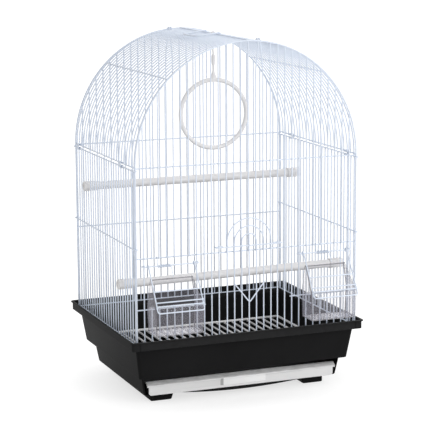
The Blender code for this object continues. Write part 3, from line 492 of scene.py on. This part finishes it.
def piece(name, mesh, finish, node=None, sharp=SHARP):
    data = bpy.data.meshes.new(name)
    mesh.to_mesh(data)
    mesh.free()
    smooth(data, sharp)
    data.materials.append(finish)
    made = bpy.data.objects.new(name, data)
    bpy.context.scene.collection.objects.link(made)
    if node:
        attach(made, BODY_OF[node])
        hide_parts(node)
    return made


def carve(target, mesh, operation, sharp=SHARP):
    tool = piece("tool", mesh, None)
    step = target.modifiers.new("carve", "BOOLEAN")
    step.operation = operation
    step.solver = "EXACT"
    step.object = tool
    bpy.context.view_layer.update()
    shape = bpy.data.meshes.new_from_object(target.evaluated_get(bpy.context.evaluated_depsgraph_get()))
    target.modifiers.clear()
    target.data = shape
    smooth(shape, sharp)
    bpy.data.objects.remove(tool, do_unlink=True)


def soften(target, width, segments=2):
    step = target.modifiers.new("soften", "BEVEL")
    step.width = width
    step.segments = segments
    step.limit_method = "ANGLE"
    step.angle_limit = BEVELLED
    return step


def box(mesh, low, high):
    (x0, y0, z0), (x1, y1, z1) = low, high
    flat = [(x0, y0), (x1, y0), (x1, y1), (x0, y1)]
    loft(mesh, [[(x, y, z) for x, y in flat] for z in (z0, z1)])


# The welded panels
def end_arch(y):
    points = [(-Cage.half, y, Cage.foot)]
    points += [(x, y, z) for x, z in arc((0, Cage.roof_z), Cage.half, pi, 0, ARCH_STEPS)]
    return points + [(Cage.half, y, Cage.foot)]


def arch_height(x):
    return Cage.roof_z + sqrt(max(Cage.half ** 2 - x ** 2, 0))


def roof_hook(index, y, inward, side, start):
    # One of two uprights that lean together below the arch and curl over the roof's end arc
    reach, gap, below_arch, soft, steps = 0.0040, 0.0032, 0.0018, 0.012, 10
    both = sum(HOOK_PAIR)
    base = side * index * Cage.pitch
    top = side * (both * Cage.pitch / 2 + (2 * index - both) * gap / 2)
    height = Cage.roof_z + Cage.half - below_arch
    upright_to = height - Cage.half / 4
    corners = [(base, y, start), (base, y, upright_to), (top, y, height - reach), (top, y, height)]
    path = rounded(corners, soft)
    for k in range(1, steps + 1):
        turn = pi * k / steps
        path.append((top, y + inward * reach * (1 - cos(turn)), height + reach * sin(turn)))
    return path


def end_panel(name, node, y, inward, side, bays, finish):
    mesh = bmesh.new()
    tube(mesh, end_arch(y), POST_R)
    last = FRONT_SPACES // 2
    for index in range(1 - last, last):
        x = index * Cage.pitch
        start = Cage.foot
        if bays and abs(index) <= DOOR_SPACES:
            start = Cage.mid_z - END_OVERHANG
        if bays and BAY_INNER < abs(index) < BAY_OUTER:
            tube(mesh, [(x, y, Cage.foot), (x, y, Cage.sill_z + END_OVERHANG)], WIRE_R)
            start = Cage.mid_z - END_OVERHANG
        if index * side in HOOK_PAIR:
            tube(mesh, roof_hook(abs(index), y, inward, side, start), WIRE_R)
        else:
            tube(mesh, [(x, y, start), (x, y, arch_height(x))], WIRE_R)
    cross_y = y + inward * WELD
    reach = Cage.half + END_OVERHANG
    for z in (Cage.bottom_z, Cage.mid_z, Cage.shoulder_z):
        tube(mesh, [(-reach, cross_y, z), (reach, cross_y, z)], WIRE_R)
    if bays:
        start = SILL_INNER * Cage.pitch - END_OVERHANG * 2
        for end in (-1, 1):
            sill = [(end * x, cross_y, Cage.sill_z) for x in (start, reach)]
            tube(mesh, sill, WIRE_R)
    return piece(name, mesh, finish, node)


def side_places():
    last = SIDE_SPACES // 2
    return [Cage.middle + index * SIDE_PITCH for index in range(-last, last + 1)]


def side_panel(name, node, side, finish):
    # Uprights, a bottom wire inside them, and two cross wires that hook round the corner posts
    mesh = bmesh.new()
    x = side * Cage.half
    places = side_places()
    for y in places:
        tube(mesh, [(x, y, Cage.foot), (x, y, Cage.side_top_z + END_OVERHANG)], WIRE_R)
    wrap, sweep, past_last = 0.0027, 1.1 * pi, 0.0022
    for z in (Cage.side_mid_z, Cage.side_top_z):
        path = []
        for end, post, near in ((-1, Cage.front, places[0]), (1, Cage.back, places[-1])):
            hook = [(Cage.half + WELD, near + end * past_last)]
            hook += arc((Cage.half, post), wrap, 0, sweep * end, 12)
            path += reversed(hook) if end < 0 else hook
        tube(mesh, [(side * px, py, z) for px, py in path], WIRE_R)
    inner = x - side * WELD
    low, high = places[0] - END_OVERHANG, places[-1] + END_OVERHANG
    tube(mesh, [(inner, low, Cage.bottom_z), (inner, high, Cage.bottom_z)], WIRE_R)
    return piece(name, mesh, finish, node)


def roof_panel(finish):
    # Arched wires with short straight tails, on five wires that run from front to back
    tail_z = Cage.roof_z - 0.0015
    mesh = bmesh.new()
    places = side_places()
    vault = arc((0, Cage.roof_z), Cage.arc_r, 0, pi, ROOF_STEPS)
    vault = [(Cage.arc_r, tail_z)] + vault + [(-Cage.arc_r, tail_z)]
    for y in places:
        tube(mesh, [(x, y, z) for x, z in vault], WIRE_R)
    low, high = places[0] - END_OVERHANG, places[-1] + END_OVERHANG
    for x, z in arc((0, Cage.roof_z), Cage.arc_r + WELD, 0, pi, 4):
        tube(mesh, [(x, low, z), (x, high, z)], WIRE_R)
    return piece("roof_wires", mesh, finish, "roof_panel")


def floor_grille(finish):
    # A closed frame wire, with the bars welded below it
    low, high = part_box("floor_grille")
    frame_r, bar_r, corner = 0.0018, 0.0015, 0.0022
    x = high.x - frame_r
    front, back = low.y + frame_r, high.y - frame_r
    mesh = bmesh.new()
    frame_path = ring_points(0, x, front, back, high.z - frame_r, corner, steps=5)
    tube(mesh, frame_path, frame_r, sides=14, closed=True)
    pitch = 2 * x / GRILLE_SPACES
    level = low.z + bar_r
    for index in range(1 - GRILLE_SPACES // 2, GRILLE_SPACES // 2):
        tube(mesh, [(index * pitch, front, level), (index * pitch, back, level)], bar_r)
    return piece("floor_wires", mesh, finish, "floor_grille")


# The lift-up door
def front_door(finish):
    # Nested arched wires on two bars that loop round the uprights, and a V for the finger
    y = Cage.front - TOUCH
    outer, inner = y - WELD, Cage.front + TOUCH
    bottom = Cage.bottom_z + TOUCH
    foot = bottom - END_OVERHANG
    bar = Cage.mid_z + 0.0079
    crown = bar + 0.0055
    mesh = bmesh.new()
    tube(mesh, [(0, y, foot), (0, y, crown + Cage.pitch)], WIRE_R)
    for count in range(1, DOOR_SPACES + 1):
        radius = count * Cage.pitch
        top = arc((0, crown), radius, pi, 0, 28)
        tube(mesh, [(-radius, y, foot)] + [(x, y, z) for x, z in top] + [(radius, y, foot)], WIRE_R)
    guide = (DOOR_SPACES + 1) * Cage.pitch
    loop_half, loop_bend, point_bend = 0.0054, 0.0030, 0.003
    near, far = guide - loop_half, guide + loop_half
    for z in (bottom, bar):
        half = [(near, outer + TOUCH, z), (near, inner, z), (far, inner, z), (far, outer, z)]
        path = [(-px, py, pz) for px, py, pz in half] + list(reversed(half))
        tube(mesh, rounded(path, loop_bend), WIRE_R)
    point = bar - 0.0803
    wing_x, wing_z = 2 * Cage.pitch + 0.0009, point + 0.0282
    path = [(-wing_x, outer, wing_z), (0, outer, point), (wing_x, outer, wing_z)]
    tube(mesh, rounded(path, point_bend, steps=8), WIRE_R)
    return piece("door_wires", mesh, finish, "front_door")


# Feeders, flaps, rods and springs
def feeder(name, node, finish, corner_finish):
    # A cup that leans back into a hood, open behind, with a tongue on the sill wire
    low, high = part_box(node)
    centre = (low.x + high.x) / 2
    back = Cage.front - 0.0014
    wall, lip, outer_corner, inner_corner = 0.0015, 0.0014, 0.003, 0.0018

    # Half width, depth and height at each level
    foot = Vector((0.0330, 0.0326, 0))
    edge = Vector((0.0342, 0.0338, 0.0012))
    brow = Vector((0.0355, 0.0350, 0.0334))
    neck = Vector((0.0355, 0.0325, 0.0395))
    top = Vector((0.0308, 0.0050, 0.0736))
    hood = top.z - neck.z
    outer = (foot, edge, brow, neck, neck.lerp(top, 1 - lip / hood), top)
    mesh = bmesh.new()
    loft(mesh, [ring_points(centre, row.x, back - row.y, back, low.z + row.z, outer_corner)
                for row in outer])
    made = piece(name, mesh, finish, node, sharp=CLEAR_SHARP)

    # The hollow, closed behind up to the brow and open above it
    closed, opened, past_top = back - wall, back + 0.0050, 0.003
    floor = Vector((edge.x, edge.y, wall))
    above_brow = brow + Vector((0, 0, 0.0003))
    beyond = top + Vector((0, -(neck.y - top.y) / hood * past_top, past_top))
    hollow = ((floor, closed), (brow, closed), (above_brow, opened), (neck, opened), (top, opened),
              (beyond, opened))
    mesh = bmesh.new()
    loft(mesh, [ring_points(centre, row.x - wall, back - row.y + wall, far, low.z + row.z, inner_corner)
                for row, far in hollow])
    carve(made, mesh, "DIFFERENCE", CLEAR_SHARP)
    tongue_half, tongue_out, tongue_z = 0.030, 0.006, Cage.sill_z + 0.0014
    mesh = bmesh.new()
    box(mesh, (centre - tongue_half, closed + 0.0003, tongue_z),
        (centre + tongue_half, back + tongue_out, tongue_z + wall))
    carve(made, mesh, "UNION", CLEAR_SHARP)

    # Corners and rims take the denser finish
    made.data.materials.append(corner_finish)
    slanting, level = 0.45, 0.9
    for face in made.data.polygons:
        height = face.center.z - low.z
        corner = min(abs(face.normal.x), abs(face.normal.y)) > slanting
        rim = height > top.z - lip or height < edge.z and abs(face.normal.z) < level
        if corner or rim:
            face.material_index = 1
    soften(made, width=0.0007).material = 1
    return made


def flap(name, node, centre, finish):
    # A U of wire with an eye on the rod at each end, and three cross wires
    half, length, corner = 0.0334, 0.0690, 0.003
    cross_shares = (0.557, 0.787, 0.871)
    path = [(-half, y, z) for y, z in arc((0, 0), TOUCH, -radians(60), pi, 16)]
    turn = arc((corner - half, corner - length), corner, pi, pi * 3 / 2, 5)
    path += [(x, -TOUCH, z) for x, z in turn]
    path += [(-x, y, z) for x, y, z in reversed(path)]
    mesh = bmesh.new()
    tube(mesh, path, WIRE_R)
    reach = half + END_OVERHANG
    for share in cross_shares:
        tube(mesh, [(x, -TOUCH - WELD, -length * share) for x in (-reach, reach)], WIRE_R)
    hinge = Matrix.Translation((centre, Cage.front - TOUCH, Cage.mid_z - HINGE_DROP))
    place = hinge @ Matrix.Rotation(-FLAP_LEAN, 4, "X")
    bmesh.ops.transform(mesh, matrix=place, verts=mesh.verts)
    return piece(name, mesh, finish, node)


def flap_rod(name, node, finish):
    # A straight rod whose ends wrap round the bay's two uprights
    low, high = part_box(node)
    z = (low.z + high.z) / 2
    sweep = radians(240)
    ends = sorted((1 if low.x > 0 else -1) * Cage.pitch * k for k in (BAY_INNER, BAY_OUTER))
    path = arc((ends[0], Cage.front), TOUCH, -pi / 2 - sweep, -pi / 2, 16)
    path += arc((ends[1], Cage.front), TOUCH, -pi / 2, -pi / 2 + sweep, 16)
    mesh = bmesh.new()
    tube(mesh, [(x, y, z) for x, y in path], WIRE_R)
    return piece(name, mesh, finish, node)


def flap_spring(name, node, start, finish):
    # From a hook over the bay's cross wire, round the rod, to a leg that lies on the flap
    wire, coil, width, leg, whole_turns, turn_steps = 0.00045, 0.0020, 0.0185, 0.0150, 8, 24
    y0, z0 = Cage.front - TOUCH, Cage.mid_z - HINGE_DROP
    cross = Cage.front + WELD
    wrap = SOLID_WIRE_R + CLEARANCE + wire
    path = [(start, cross + wrap, Cage.mid_z - wrap)]
    path += [(start, y, z) for y, z in arc((cross, Cage.mid_z), wrap, 0, pi, 12)]
    path.append((start, y0 + coil, z0 + coil * 2))
    turns = whole_turns + (pi - FLAP_LEAN) / (2 * pi)
    steps = ceil(turns * turn_steps)
    for k in range(steps + 1):
        share = k / steps
        angle = -2 * pi * turns * share
        path.append((start + width * share, y0 + coil * cos(angle), z0 + coil * sin(angle)))
    end = Vector(path[-1])
    path.append(tuple(end + Vector((0, -sin(FLAP_LEAN), -cos(FLAP_LEAN))) * leg))
    mesh = bmesh.new()
    tube(mesh, path, wire, sides=8)
    return piece(name, mesh, finish, node)


# Perches
def turned(mesh, profile, y, z):
    angles = round_angles(32)
    loft(mesh, [[(x, y + r * cos(a), z + r * sin(a)) for a in angles] for r, x in profile])


def lean(mesh, tilt):
    for vert in mesh.verts:
        vert.co.z += (vert.co.x - PERCH_TILT_FROM) * tilt


def perch(word, finish, tilt=0):
    low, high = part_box(word + "_perch_rod")
    y, z = (low.y + high.y) / 2, (low.z + high.z) / 2
    rod_r = 0.00585
    mesh = bmesh.new()
    turned(mesh, [(rod_r, low.x), (rod_r, high.x)], y, z)
    lean(mesh, tilt)
    piece(word + "_perch_bar", mesh, finish, word + "_perch_rod")
    perch_end(word, "left", -1, y, z, finish, tilt)
    perch_end(word, "right", 1, y, z, finish, tilt)


def perch_end(word, side, mirror, y, z, finish, tilt):
    # A cap with a groove near its mouth and a slot at its tip for the wire that it hangs on
    node = word + "_perch_cap_" + side
    low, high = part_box(node)
    mouth, tip = sorted((abs(low.x), abs(high.x)))
    bore, outer, soft, groove, deep = 0.00625, 0.0070, 0.0006, 0.0003, 0.0097
    first, last = mouth + 0.0030, mouth + 0.0040
    profile = [(bore, mouth + deep), (bore, mouth + soft), (bore + 0.0002, mouth),
               (outer - groove, mouth), (outer, mouth + soft / 2),
               (outer, first), (outer - groove, first + groove),
               (outer - groove, last), (outer, last + groove),
               (outer, tip - soft * 2), (outer - soft * 0.6, tip - soft * 0.6), (outer - soft * 2, tip)]
    mesh = bmesh.new()
    turned(mesh, [(r, mirror * x) for r, x in profile][::mirror], y, z)
    lean(mesh, tilt)
    bmesh.ops.recalc_face_normals(mesh, faces=mesh.faces)
    made = piece(word + "_perch_end_" + side, mesh, finish, node)
    slot_half, slot_high = 0.0014, 0.012
    x0, x1 = sorted((mirror * (Cage.half - slot_half), mirror * (tip + 0.004)))
    mesh = bmesh.new()
    box(mesh, (x0, y - slot_half, z - slot_high), (x1, y + slot_half, z + slot_high))
    carve(made, mesh, "DIFFERENCE")


# Swing and handle
def swing(finish):
    # A ring turned a little on its hook, a cone on it that thins to a stem, a bead, and a wire hook
    low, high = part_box("swing")
    y = (low.y + high.y) / 2
    tube_r, ring_r, twist, hook_r = 0.0031, 0.0489, radians(-5), 0.0012
    centre = low.z + ring_r + 2 * tube_r
    mesh = bmesh.new()
    ring = []
    for a in round_angles(96):
        out = ring_r * cos(a)
        ring.append((out * cos(twist), y + out * sin(twist), centre + ring_r * sin(a)))
    tube(mesh, ring, tube_r, sides=20, closed=True)

    # Radius and height along the cone and the bead
    sunk, cone_high = 0.0008, 0.0220
    base = centre + ring_r - sunk
    neck = base + cone_high
    cone = [(0.0068, -0.0022), (0.0062, 0.0006), (0.0047, 0.0040), (0.0033, 0.0075),
            (0.0021, 0.0108), (0.0015, 0.0140)]
    bead = [(0.0015, -0.001), (0.0019, 0), (0.0026, 0.0020), (0.00275, 0.0040),
            (0.00275, 0.0110), (0.0025, 0.0132), (0.0017, 0.0150)]
    profile = [(r, base + rise) for r, rise in cone] + [(r, neck + rise) for r, rise in bead]
    angles = round_angles(24)
    loft(mesh, [[(r * cos(a), y + min(r, tube_r) * sin(a), z) for a in angles] for r, z in profile])

    top = neck + bead[-1][1]
    wrap, straight, hook_bend = 0.0026, 0.0015, 0.003
    stem = [(0, y, top - straight), (0, y, top + straight), (-wrap, y, Cage.ridge_z - wrap * 2)]
    curl = arc((0, Cage.ridge_z), wrap, pi, -pi / 4, 14)
    tube(mesh, rounded(stem, hook_bend) + [Vector((x, y, z)) for x, z in curl], hook_r)
    return piece("swing_ring", mesh, finish, "swing")


def top_handle(finish):
    # A bail with an eye round the ridge wire at each end, lying on the left slope of the roof
    low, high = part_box("top_handle")
    r, wrap, corner, above_arch = 0.00118, 0.0026, 0.008, 0.0026
    reach = -low.x - r
    half = (high.y - low.y) / 2 - r
    rest_z = Cage.roof_z + sqrt(Cage.arc_outer ** 2 - reach ** 2) + above_arch
    slope = (rest_z - Cage.ridge_z - wrap) / reach
    eye = arc((0, Cage.ridge_z), wrap, pi / 2 - radians(225), pi / 2, 14)
    path = [(x, Cage.middle - half, z) for x, z in eye]
    for along, across in arc((reach - corner, corner - half), corner, -pi / 2, 0, 8):
        path.append((-along, Cage.middle + across, Cage.ridge_z + wrap + slope * along))
    path += [(x, 2 * Cage.middle - y, z) for x, y, z in reversed(path)]
    mesh = bmesh.new()
    tube(mesh, path, r)
    return piece("handle_wire", mesh, finish, "top_handle")


# Roof clips
def roof_clip(name, node, finish):
    # A sprung C round the side panel's top wire and the roof's lowest wire
    low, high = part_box(node)
    side = 1 if low.x > 0 else -1
    x = side * (Cage.half + WELD)
    half = (Cage.roof_z - Cage.side_top_z) / 2
    z = (Cage.roof_z + Cage.side_top_z) / 2
    inner, outer, mouth = 0.0014, 0.0024, 0.0008

    def shell(radius):
        upper = arc((0, half), radius, pi, 0, 12)
        lower = arc((0, -half), radius, 0, -pi, 12)
        return [(-radius, mouth)] + upper + lower + [(-radius, -mouth)]

    points = [(x + side * px, z + pz) for px, pz in shell(outer) + list(reversed(shell(inner)))]
    mesh = bmesh.new()
    loft(mesh, [[(px, y, pz) for px, pz in points] for y in (low.y, high.y)])
    bmesh.ops.recalc_face_normals(mesh, faces=mesh.faces)
    made = piece(name, mesh, finish, node)
    soften(made, width=0.0002)
    return made


# Basin
def basin(finish):
    # One wall all round: up the outside, over the flange and its channel, and down the inside
    low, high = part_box("base_tray")
    half, front, back, rim = high.x, low.y, high.y, high.z
    well_half, well_front, well_back = half - 0.0247, front + 0.0292, back - 0.0398
    floor_z, ledge_z, under_z = rim - 0.0853, rim - 0.0539, rim - 0.0599

    def inset(amount, drop, corner=0.006):
        return (half - amount, front + amount, back - amount, rim - drop, corner)

    def well(amount, z):
        return (well_half - amount, well_front + amount, well_back - amount, z, 0.004)

    outside = [well(0.0053, floor_z), well(0.0043, floor_z + 0.001), well(0, under_z + 0.0013),
               inset(0.0178, 0.0569), inset(0.0112, 0.0124)]
    flange = [inset(0.0022, 0.0124, 0.004), inset(0.0022, 0.0017, 0.004), inset(0, 0.0017), inset(0, 0)]
    channel = [inset(0.0037, 0, 0.0008), inset(0.0037, 0.0096, 0.0008), inset(0.0156, 0.0096)]
    inside = [inset(0.0200, 0.0539), well(0.0112, ledge_z), well(0.0112, under_z),
              well(0.0020, under_z), well(0.0063, floor_z + 0.0018)]
    rings = []
    for wide, near, far, z, corner in softened(outside + flange + channel + inside, size=0.0006):
        rings.append(ring_points(0, wide, near, far, z, corner, steps=10))
    mesh = bmesh.new()
    loft(mesh, rings)
    made = piece("basin", mesh, finish, "base_tray", sharp=BASIN_SHARP)
    mouth_half, foot_outer = well_half - 0.0020, well_half - 0.0188
    drawer_mouth(made, mouth_half, well_front, floor_z + 0.0015, under_z - 0.0003)
    feet_and_apron(made, floor_z, foot_outer, well_front, well_back)
    flange_grooves(made, half, front, back, rim)


def drawer_mouth(made, half, well_front, low_z, high_z):
    # The opening in the well's front wall, narrower at its foot
    taper, near, far = 0.0043, well_front - 0.005, well_front + 0.0103
    rings = []
    for x, z in ((half - taper, low_z), (half, high_z)):
        rings.append([(-x, near, z), (x, near, z), (x, far, z), (-x, far, z)])
    mesh = bmesh.new()
    loft(mesh, rings)
    carve(made, mesh, "DIFFERENCE", BASIN_SHARP)


def feet_and_apron(made, floor_z, outer, well_front, well_back):
    # Four tapered feet below the well, and between the front two an apron with a curved lower edge
    foot_long, foot_deep, foot_inset, soft, flare = 0.0311, 0.028, 0.0180, 0.0008, 0.0045
    into_floor = floor_z + 0.0009
    mesh = bmesh.new()
    for side in (-1, 1):
        for y in (well_front + foot_inset, well_back - foot_inset - foot_deep):
            rings = []
            for less, longer, z in ((soft, 0, 0.0), (0, 0.0002, soft), (0, flare, into_floor)):
                long = foot_long + longer
                centre = side * (outer - long / 2)
                near, far = y + less, y + foot_deep - less
                rings.append(ring_points(centre, long / 2 - less, near, far, z, corner=0.002))
            loft(mesh, rings)
    span, drop, thick = outer - 0.0356, 0.0052, 0.002
    radius = (span ** 2 + drop ** 2) / (2 * drop)
    spread = atan2(span, radius - drop)
    outline = arc((0, floor_z - drop + radius), radius, -pi / 2 - spread, -pi / 2 + spread, 32)
    outline += [(span, into_floor), (-span, into_floor)]
    y = well_front + 0.0046
    loft(mesh, [[(px, py, pz) for px, pz in reversed(outline)] for py in (y, y + thick)])
    carve(made, mesh, "UNION", BASIN_SHARP)


def flange_grooves(made, half, front, back, rim):
    # A moulding line near each end of the flange's front and back
    inset, groove_half, deep, past = 0.0132, 0.0009, 0.0029, 0.002
    low_z, high_z = rim - 0.0174, rim - 0.0020
    mesh = bmesh.new()
    for x in (inset - half, half - inset):
        for end, wall in ((-1, front), (1, back)):
            y0, y1 = sorted((wall - end * deep, wall + end * past))
            box(mesh, (x - groove_half, y0, low_z), (x + groove_half, y1, high_z))
    carve(made, mesh, "DIFFERENCE", BASIN_SHARP)


# Drawer
def drawer_face():
    # A plate under a sloping lip, with a raised grip pad
    low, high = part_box("drawer_front")
    half, plate = high.x - 0.0016, 0.0020
    pad_left, pad_right, pad_slope = -0.0300, 0.0345, 0.0040
    low_z, high_z, front = low.z + 0.0012, high.z - 0.0018, low.y
    pad_z, top, crease = low_z + 0.0035, high_z - 0.0039, front + 0.0054
    lip_z, pad_top = top - 0.0026, top - 0.0013
    finish = pale_moulding(pad_left, pad_right, pad_slope, pad_z, top - plate / 2)
    lip = [(front, lip_z), (front + plate, lip_z), (front + plate, top - plate / 2),
           (crease, high_z - plate), (high.y, high_z - plate), (high.y, high_z), (crease, high_z),
           (front, top)]
    mesh = bmesh.new()
    loft(mesh, [[(x, y, z) for y, z in lip] for x in (-half, half)])
    made = piece("drawer_face", mesh, finish, "drawer_front")

    face, corner, y = half - 0.0028, 0.004, front + 0.0015
    outline = arc((face - corner, low_z + corner), corner, -pi / 2, 0, 8)
    outline += [(face, top - plate / 4), (-face, top - plate / 4)]
    outline += arc((corner - face, low_z + corner), corner, -pi, -pi / 2, 8)
    mesh = bmesh.new()
    loft(mesh, [[(px, py, pz) for px, pz in reversed(outline)] for py in (y, y + plate)])
    carve(made, mesh, "UNION")

    proud, rooted = front + 0.0002, y + plate / 2
    grip = [(pad_left, proud), (pad_right, proud), (pad_right + pad_slope, rooted),
            (pad_left - pad_slope, rooted)]
    mesh = bmesh.new()
    loft(mesh, [[(px, py, z) for px, py in grip] for z in (pad_z, pad_top)])
    carve(made, mesh, "UNION")
    soften(made, width=0.0004, segments=3)


def drawer_tray(finish):
    # A shallow open tray with a chamfered foot
    low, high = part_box("drawer_pan")
    half, wall, chamfer, draft, flat = high.x, 0.0018, 0.002, 0.001, 0.01
    corner, inner_corner = 0.004, 0.003

    def pan(less, z, radius):
        return (half - less, low.y + less, high.y - less, z, radius)

    rows = [pan(chamfer, low.z, corner), pan(0, low.z + chamfer, corner), pan(0, high.z, corner),
            pan(wall, high.z, inner_corner), pan(wall + draft, low.z + wall, inner_corner),
            pan(flat, low.z + wall, inner_corner)]
    mesh = bmesh.new()
    loft(mesh, [ring_points(0, *row) for row in softened(rows, size=0.0006)])
    piece("drawer_tray", mesh, finish, "drawer_pan", sharp=BASIN_SHARP)


# Studio
def studio():
    mesh = bmesh.new()
    reach = FLOOR_REACH
    for x, y in ((-reach, -reach), (reach, -reach), (reach, reach), (-reach, reach)):
        mesh.verts.new((x, y, -FLOOR_DROP))
    mesh.faces.new(mesh.verts)
    piece("floor", mesh, floor_paper())
    for name, place, size, power in LAMPS:
        lamp(name, place, size, power)
    world = bpy.data.worlds.new("studio")
    bpy.context.scene.world = world
    world.use_nodes = True
    sky = Shading(world.node_tree)
    sockets = {"Value": sky.seen_white(), "To Min": WORLD_LEVEL, "To Max": 1.0}
    level = sky.node("ShaderNodeMapRange", {}, sockets)
    back = sky.tree.nodes["Background"]
    sky.link(back.inputs["Color"], (1, 1, 1, 1))
    sky.link(back.inputs["Strength"], level.outputs[0])
    bpy.context.scene.view_settings.view_transform = "Standard"


def floor_paper():
    # White paper: shaded by the object round its foot, and plain white further out
    finish = Finish("floor_paper", Roughness=0.9)
    cloud = finish.noise(3, 2)
    finish.feed("Base Color", finish.blend(cloud, (0.93, 0.93, 0.93), (0.96, 0.96, 0.96)))
    footprint_scale, near, far = (2.8, 3.4, 1), (0.40, 0.58), (1.0, 1.0)
    outward = finish.stretched(footprint_scale)
    distance = finish.node("ShaderNodeVectorMath", {"operation": "LENGTH"}, {"Vector": outward})
    away = finish.curve(distance.outputs["Value"], [near, far])
    share = away * finish.seen_white()
    glow = finish.node("ShaderNodeEmission", {}, {"Strength": 1.2})
    sockets = {0: share, 1: finish.shader.outputs[0], 2: glow.outputs[0]}
    mixed = finish.node("ShaderNodeMixShader", {}, sockets)
    finish.link(finish.tree.nodes["Material Output"].inputs["Surface"], mixed.outputs[0])
    return finish.material


def lamp(name, place, size, power):
    data = bpy.data.lights.new(name, "AREA")
    data.size = size
    data.energy = power
    made = bpy.data.objects.new(name, data)
    bpy.context.scene.collection.objects.link(made)
    made.location = place
    made.rotation_mode = "QUATERNION"
    made.rotation_quaternion = (LAMP_AIM - Vector(place)).to_track_quat("-Z", "Y")


def camera():
    data = bpy.data.cameras.new("camera")
    data.sensor_width = SENSOR
    data.lens = CAMERA_LENS
    made = bpy.data.objects.new("camera", data)
    bpy.context.scene.collection.objects.link(made)
    level = Vector((cos(CAMERA_YAW), sin(CAMERA_YAW), 0))
    ahead = Vector((-sin(CAMERA_YAW), cos(CAMERA_YAW), 0))
    forward = ahead * cos(CAMERA_PITCH) + Vector((0, 0, sin(CAMERA_PITCH)))
    upright = level.cross(forward)
    right = cos(CAMERA_ROLL) * level + sin(CAMERA_ROLL) * upright
    up = right.cross(forward)
    matrix = Matrix((right, up, -forward)).transposed().to_4x4()
    matrix.translation = CAMERA_PLACE
    made.matrix_world = matrix
    bpy.context.scene.camera = made


def build():
    coat = white_coat()
    black = satin_black()
    white = white_moulding()
    clear = clear_moulding()
    clear_corner = clear_edge()
    steel = bright_wire()
    end_panel("front_wires", "front_panel", Cage.front, 1, 1, True, coat)
    end_panel("back_wires", "back_panel", Cage.back, -1, -1, False, coat)
    side_panel("left_wires", "left_panel", -1, coat)
    side_panel("right_wires", "right_panel", 1, coat)
    roof_panel(coat)
    floor_grille(grille_coat())
    front_door(coat)
    centre = Cage.pitch * (BAY_INNER + BAY_OUTER) / 2
    for word, side, shift in (("left", -1, LEFT_SPRING_SHIFT), ("right", 1, RIGHT_SPRING_SHIFT)):
        feeder(word + "_cup", word + "_feeder", clear, clear_corner)
        flap(word + "_flap_wires", word + "_flap", side * centre, coat)
        flap_rod(word + "_hinge_rod", word + "_flap_rod", coat)
        flap_spring(word + "_coil", word + "_flap_spring", side * centre + shift, steel)
        for number in ("1", "2"):
            roof_clip(word + "_clip_" + number, word + "_roof_clip_" + number, coat)
    perch("upper", white)
    perch("lower", white, LOWER_PERCH_TILT)
    swing(white)
    top_handle(coat)
    basin(black)
    drawer_face()
    drawer_tray(black)
    studio()
    camera()


build()
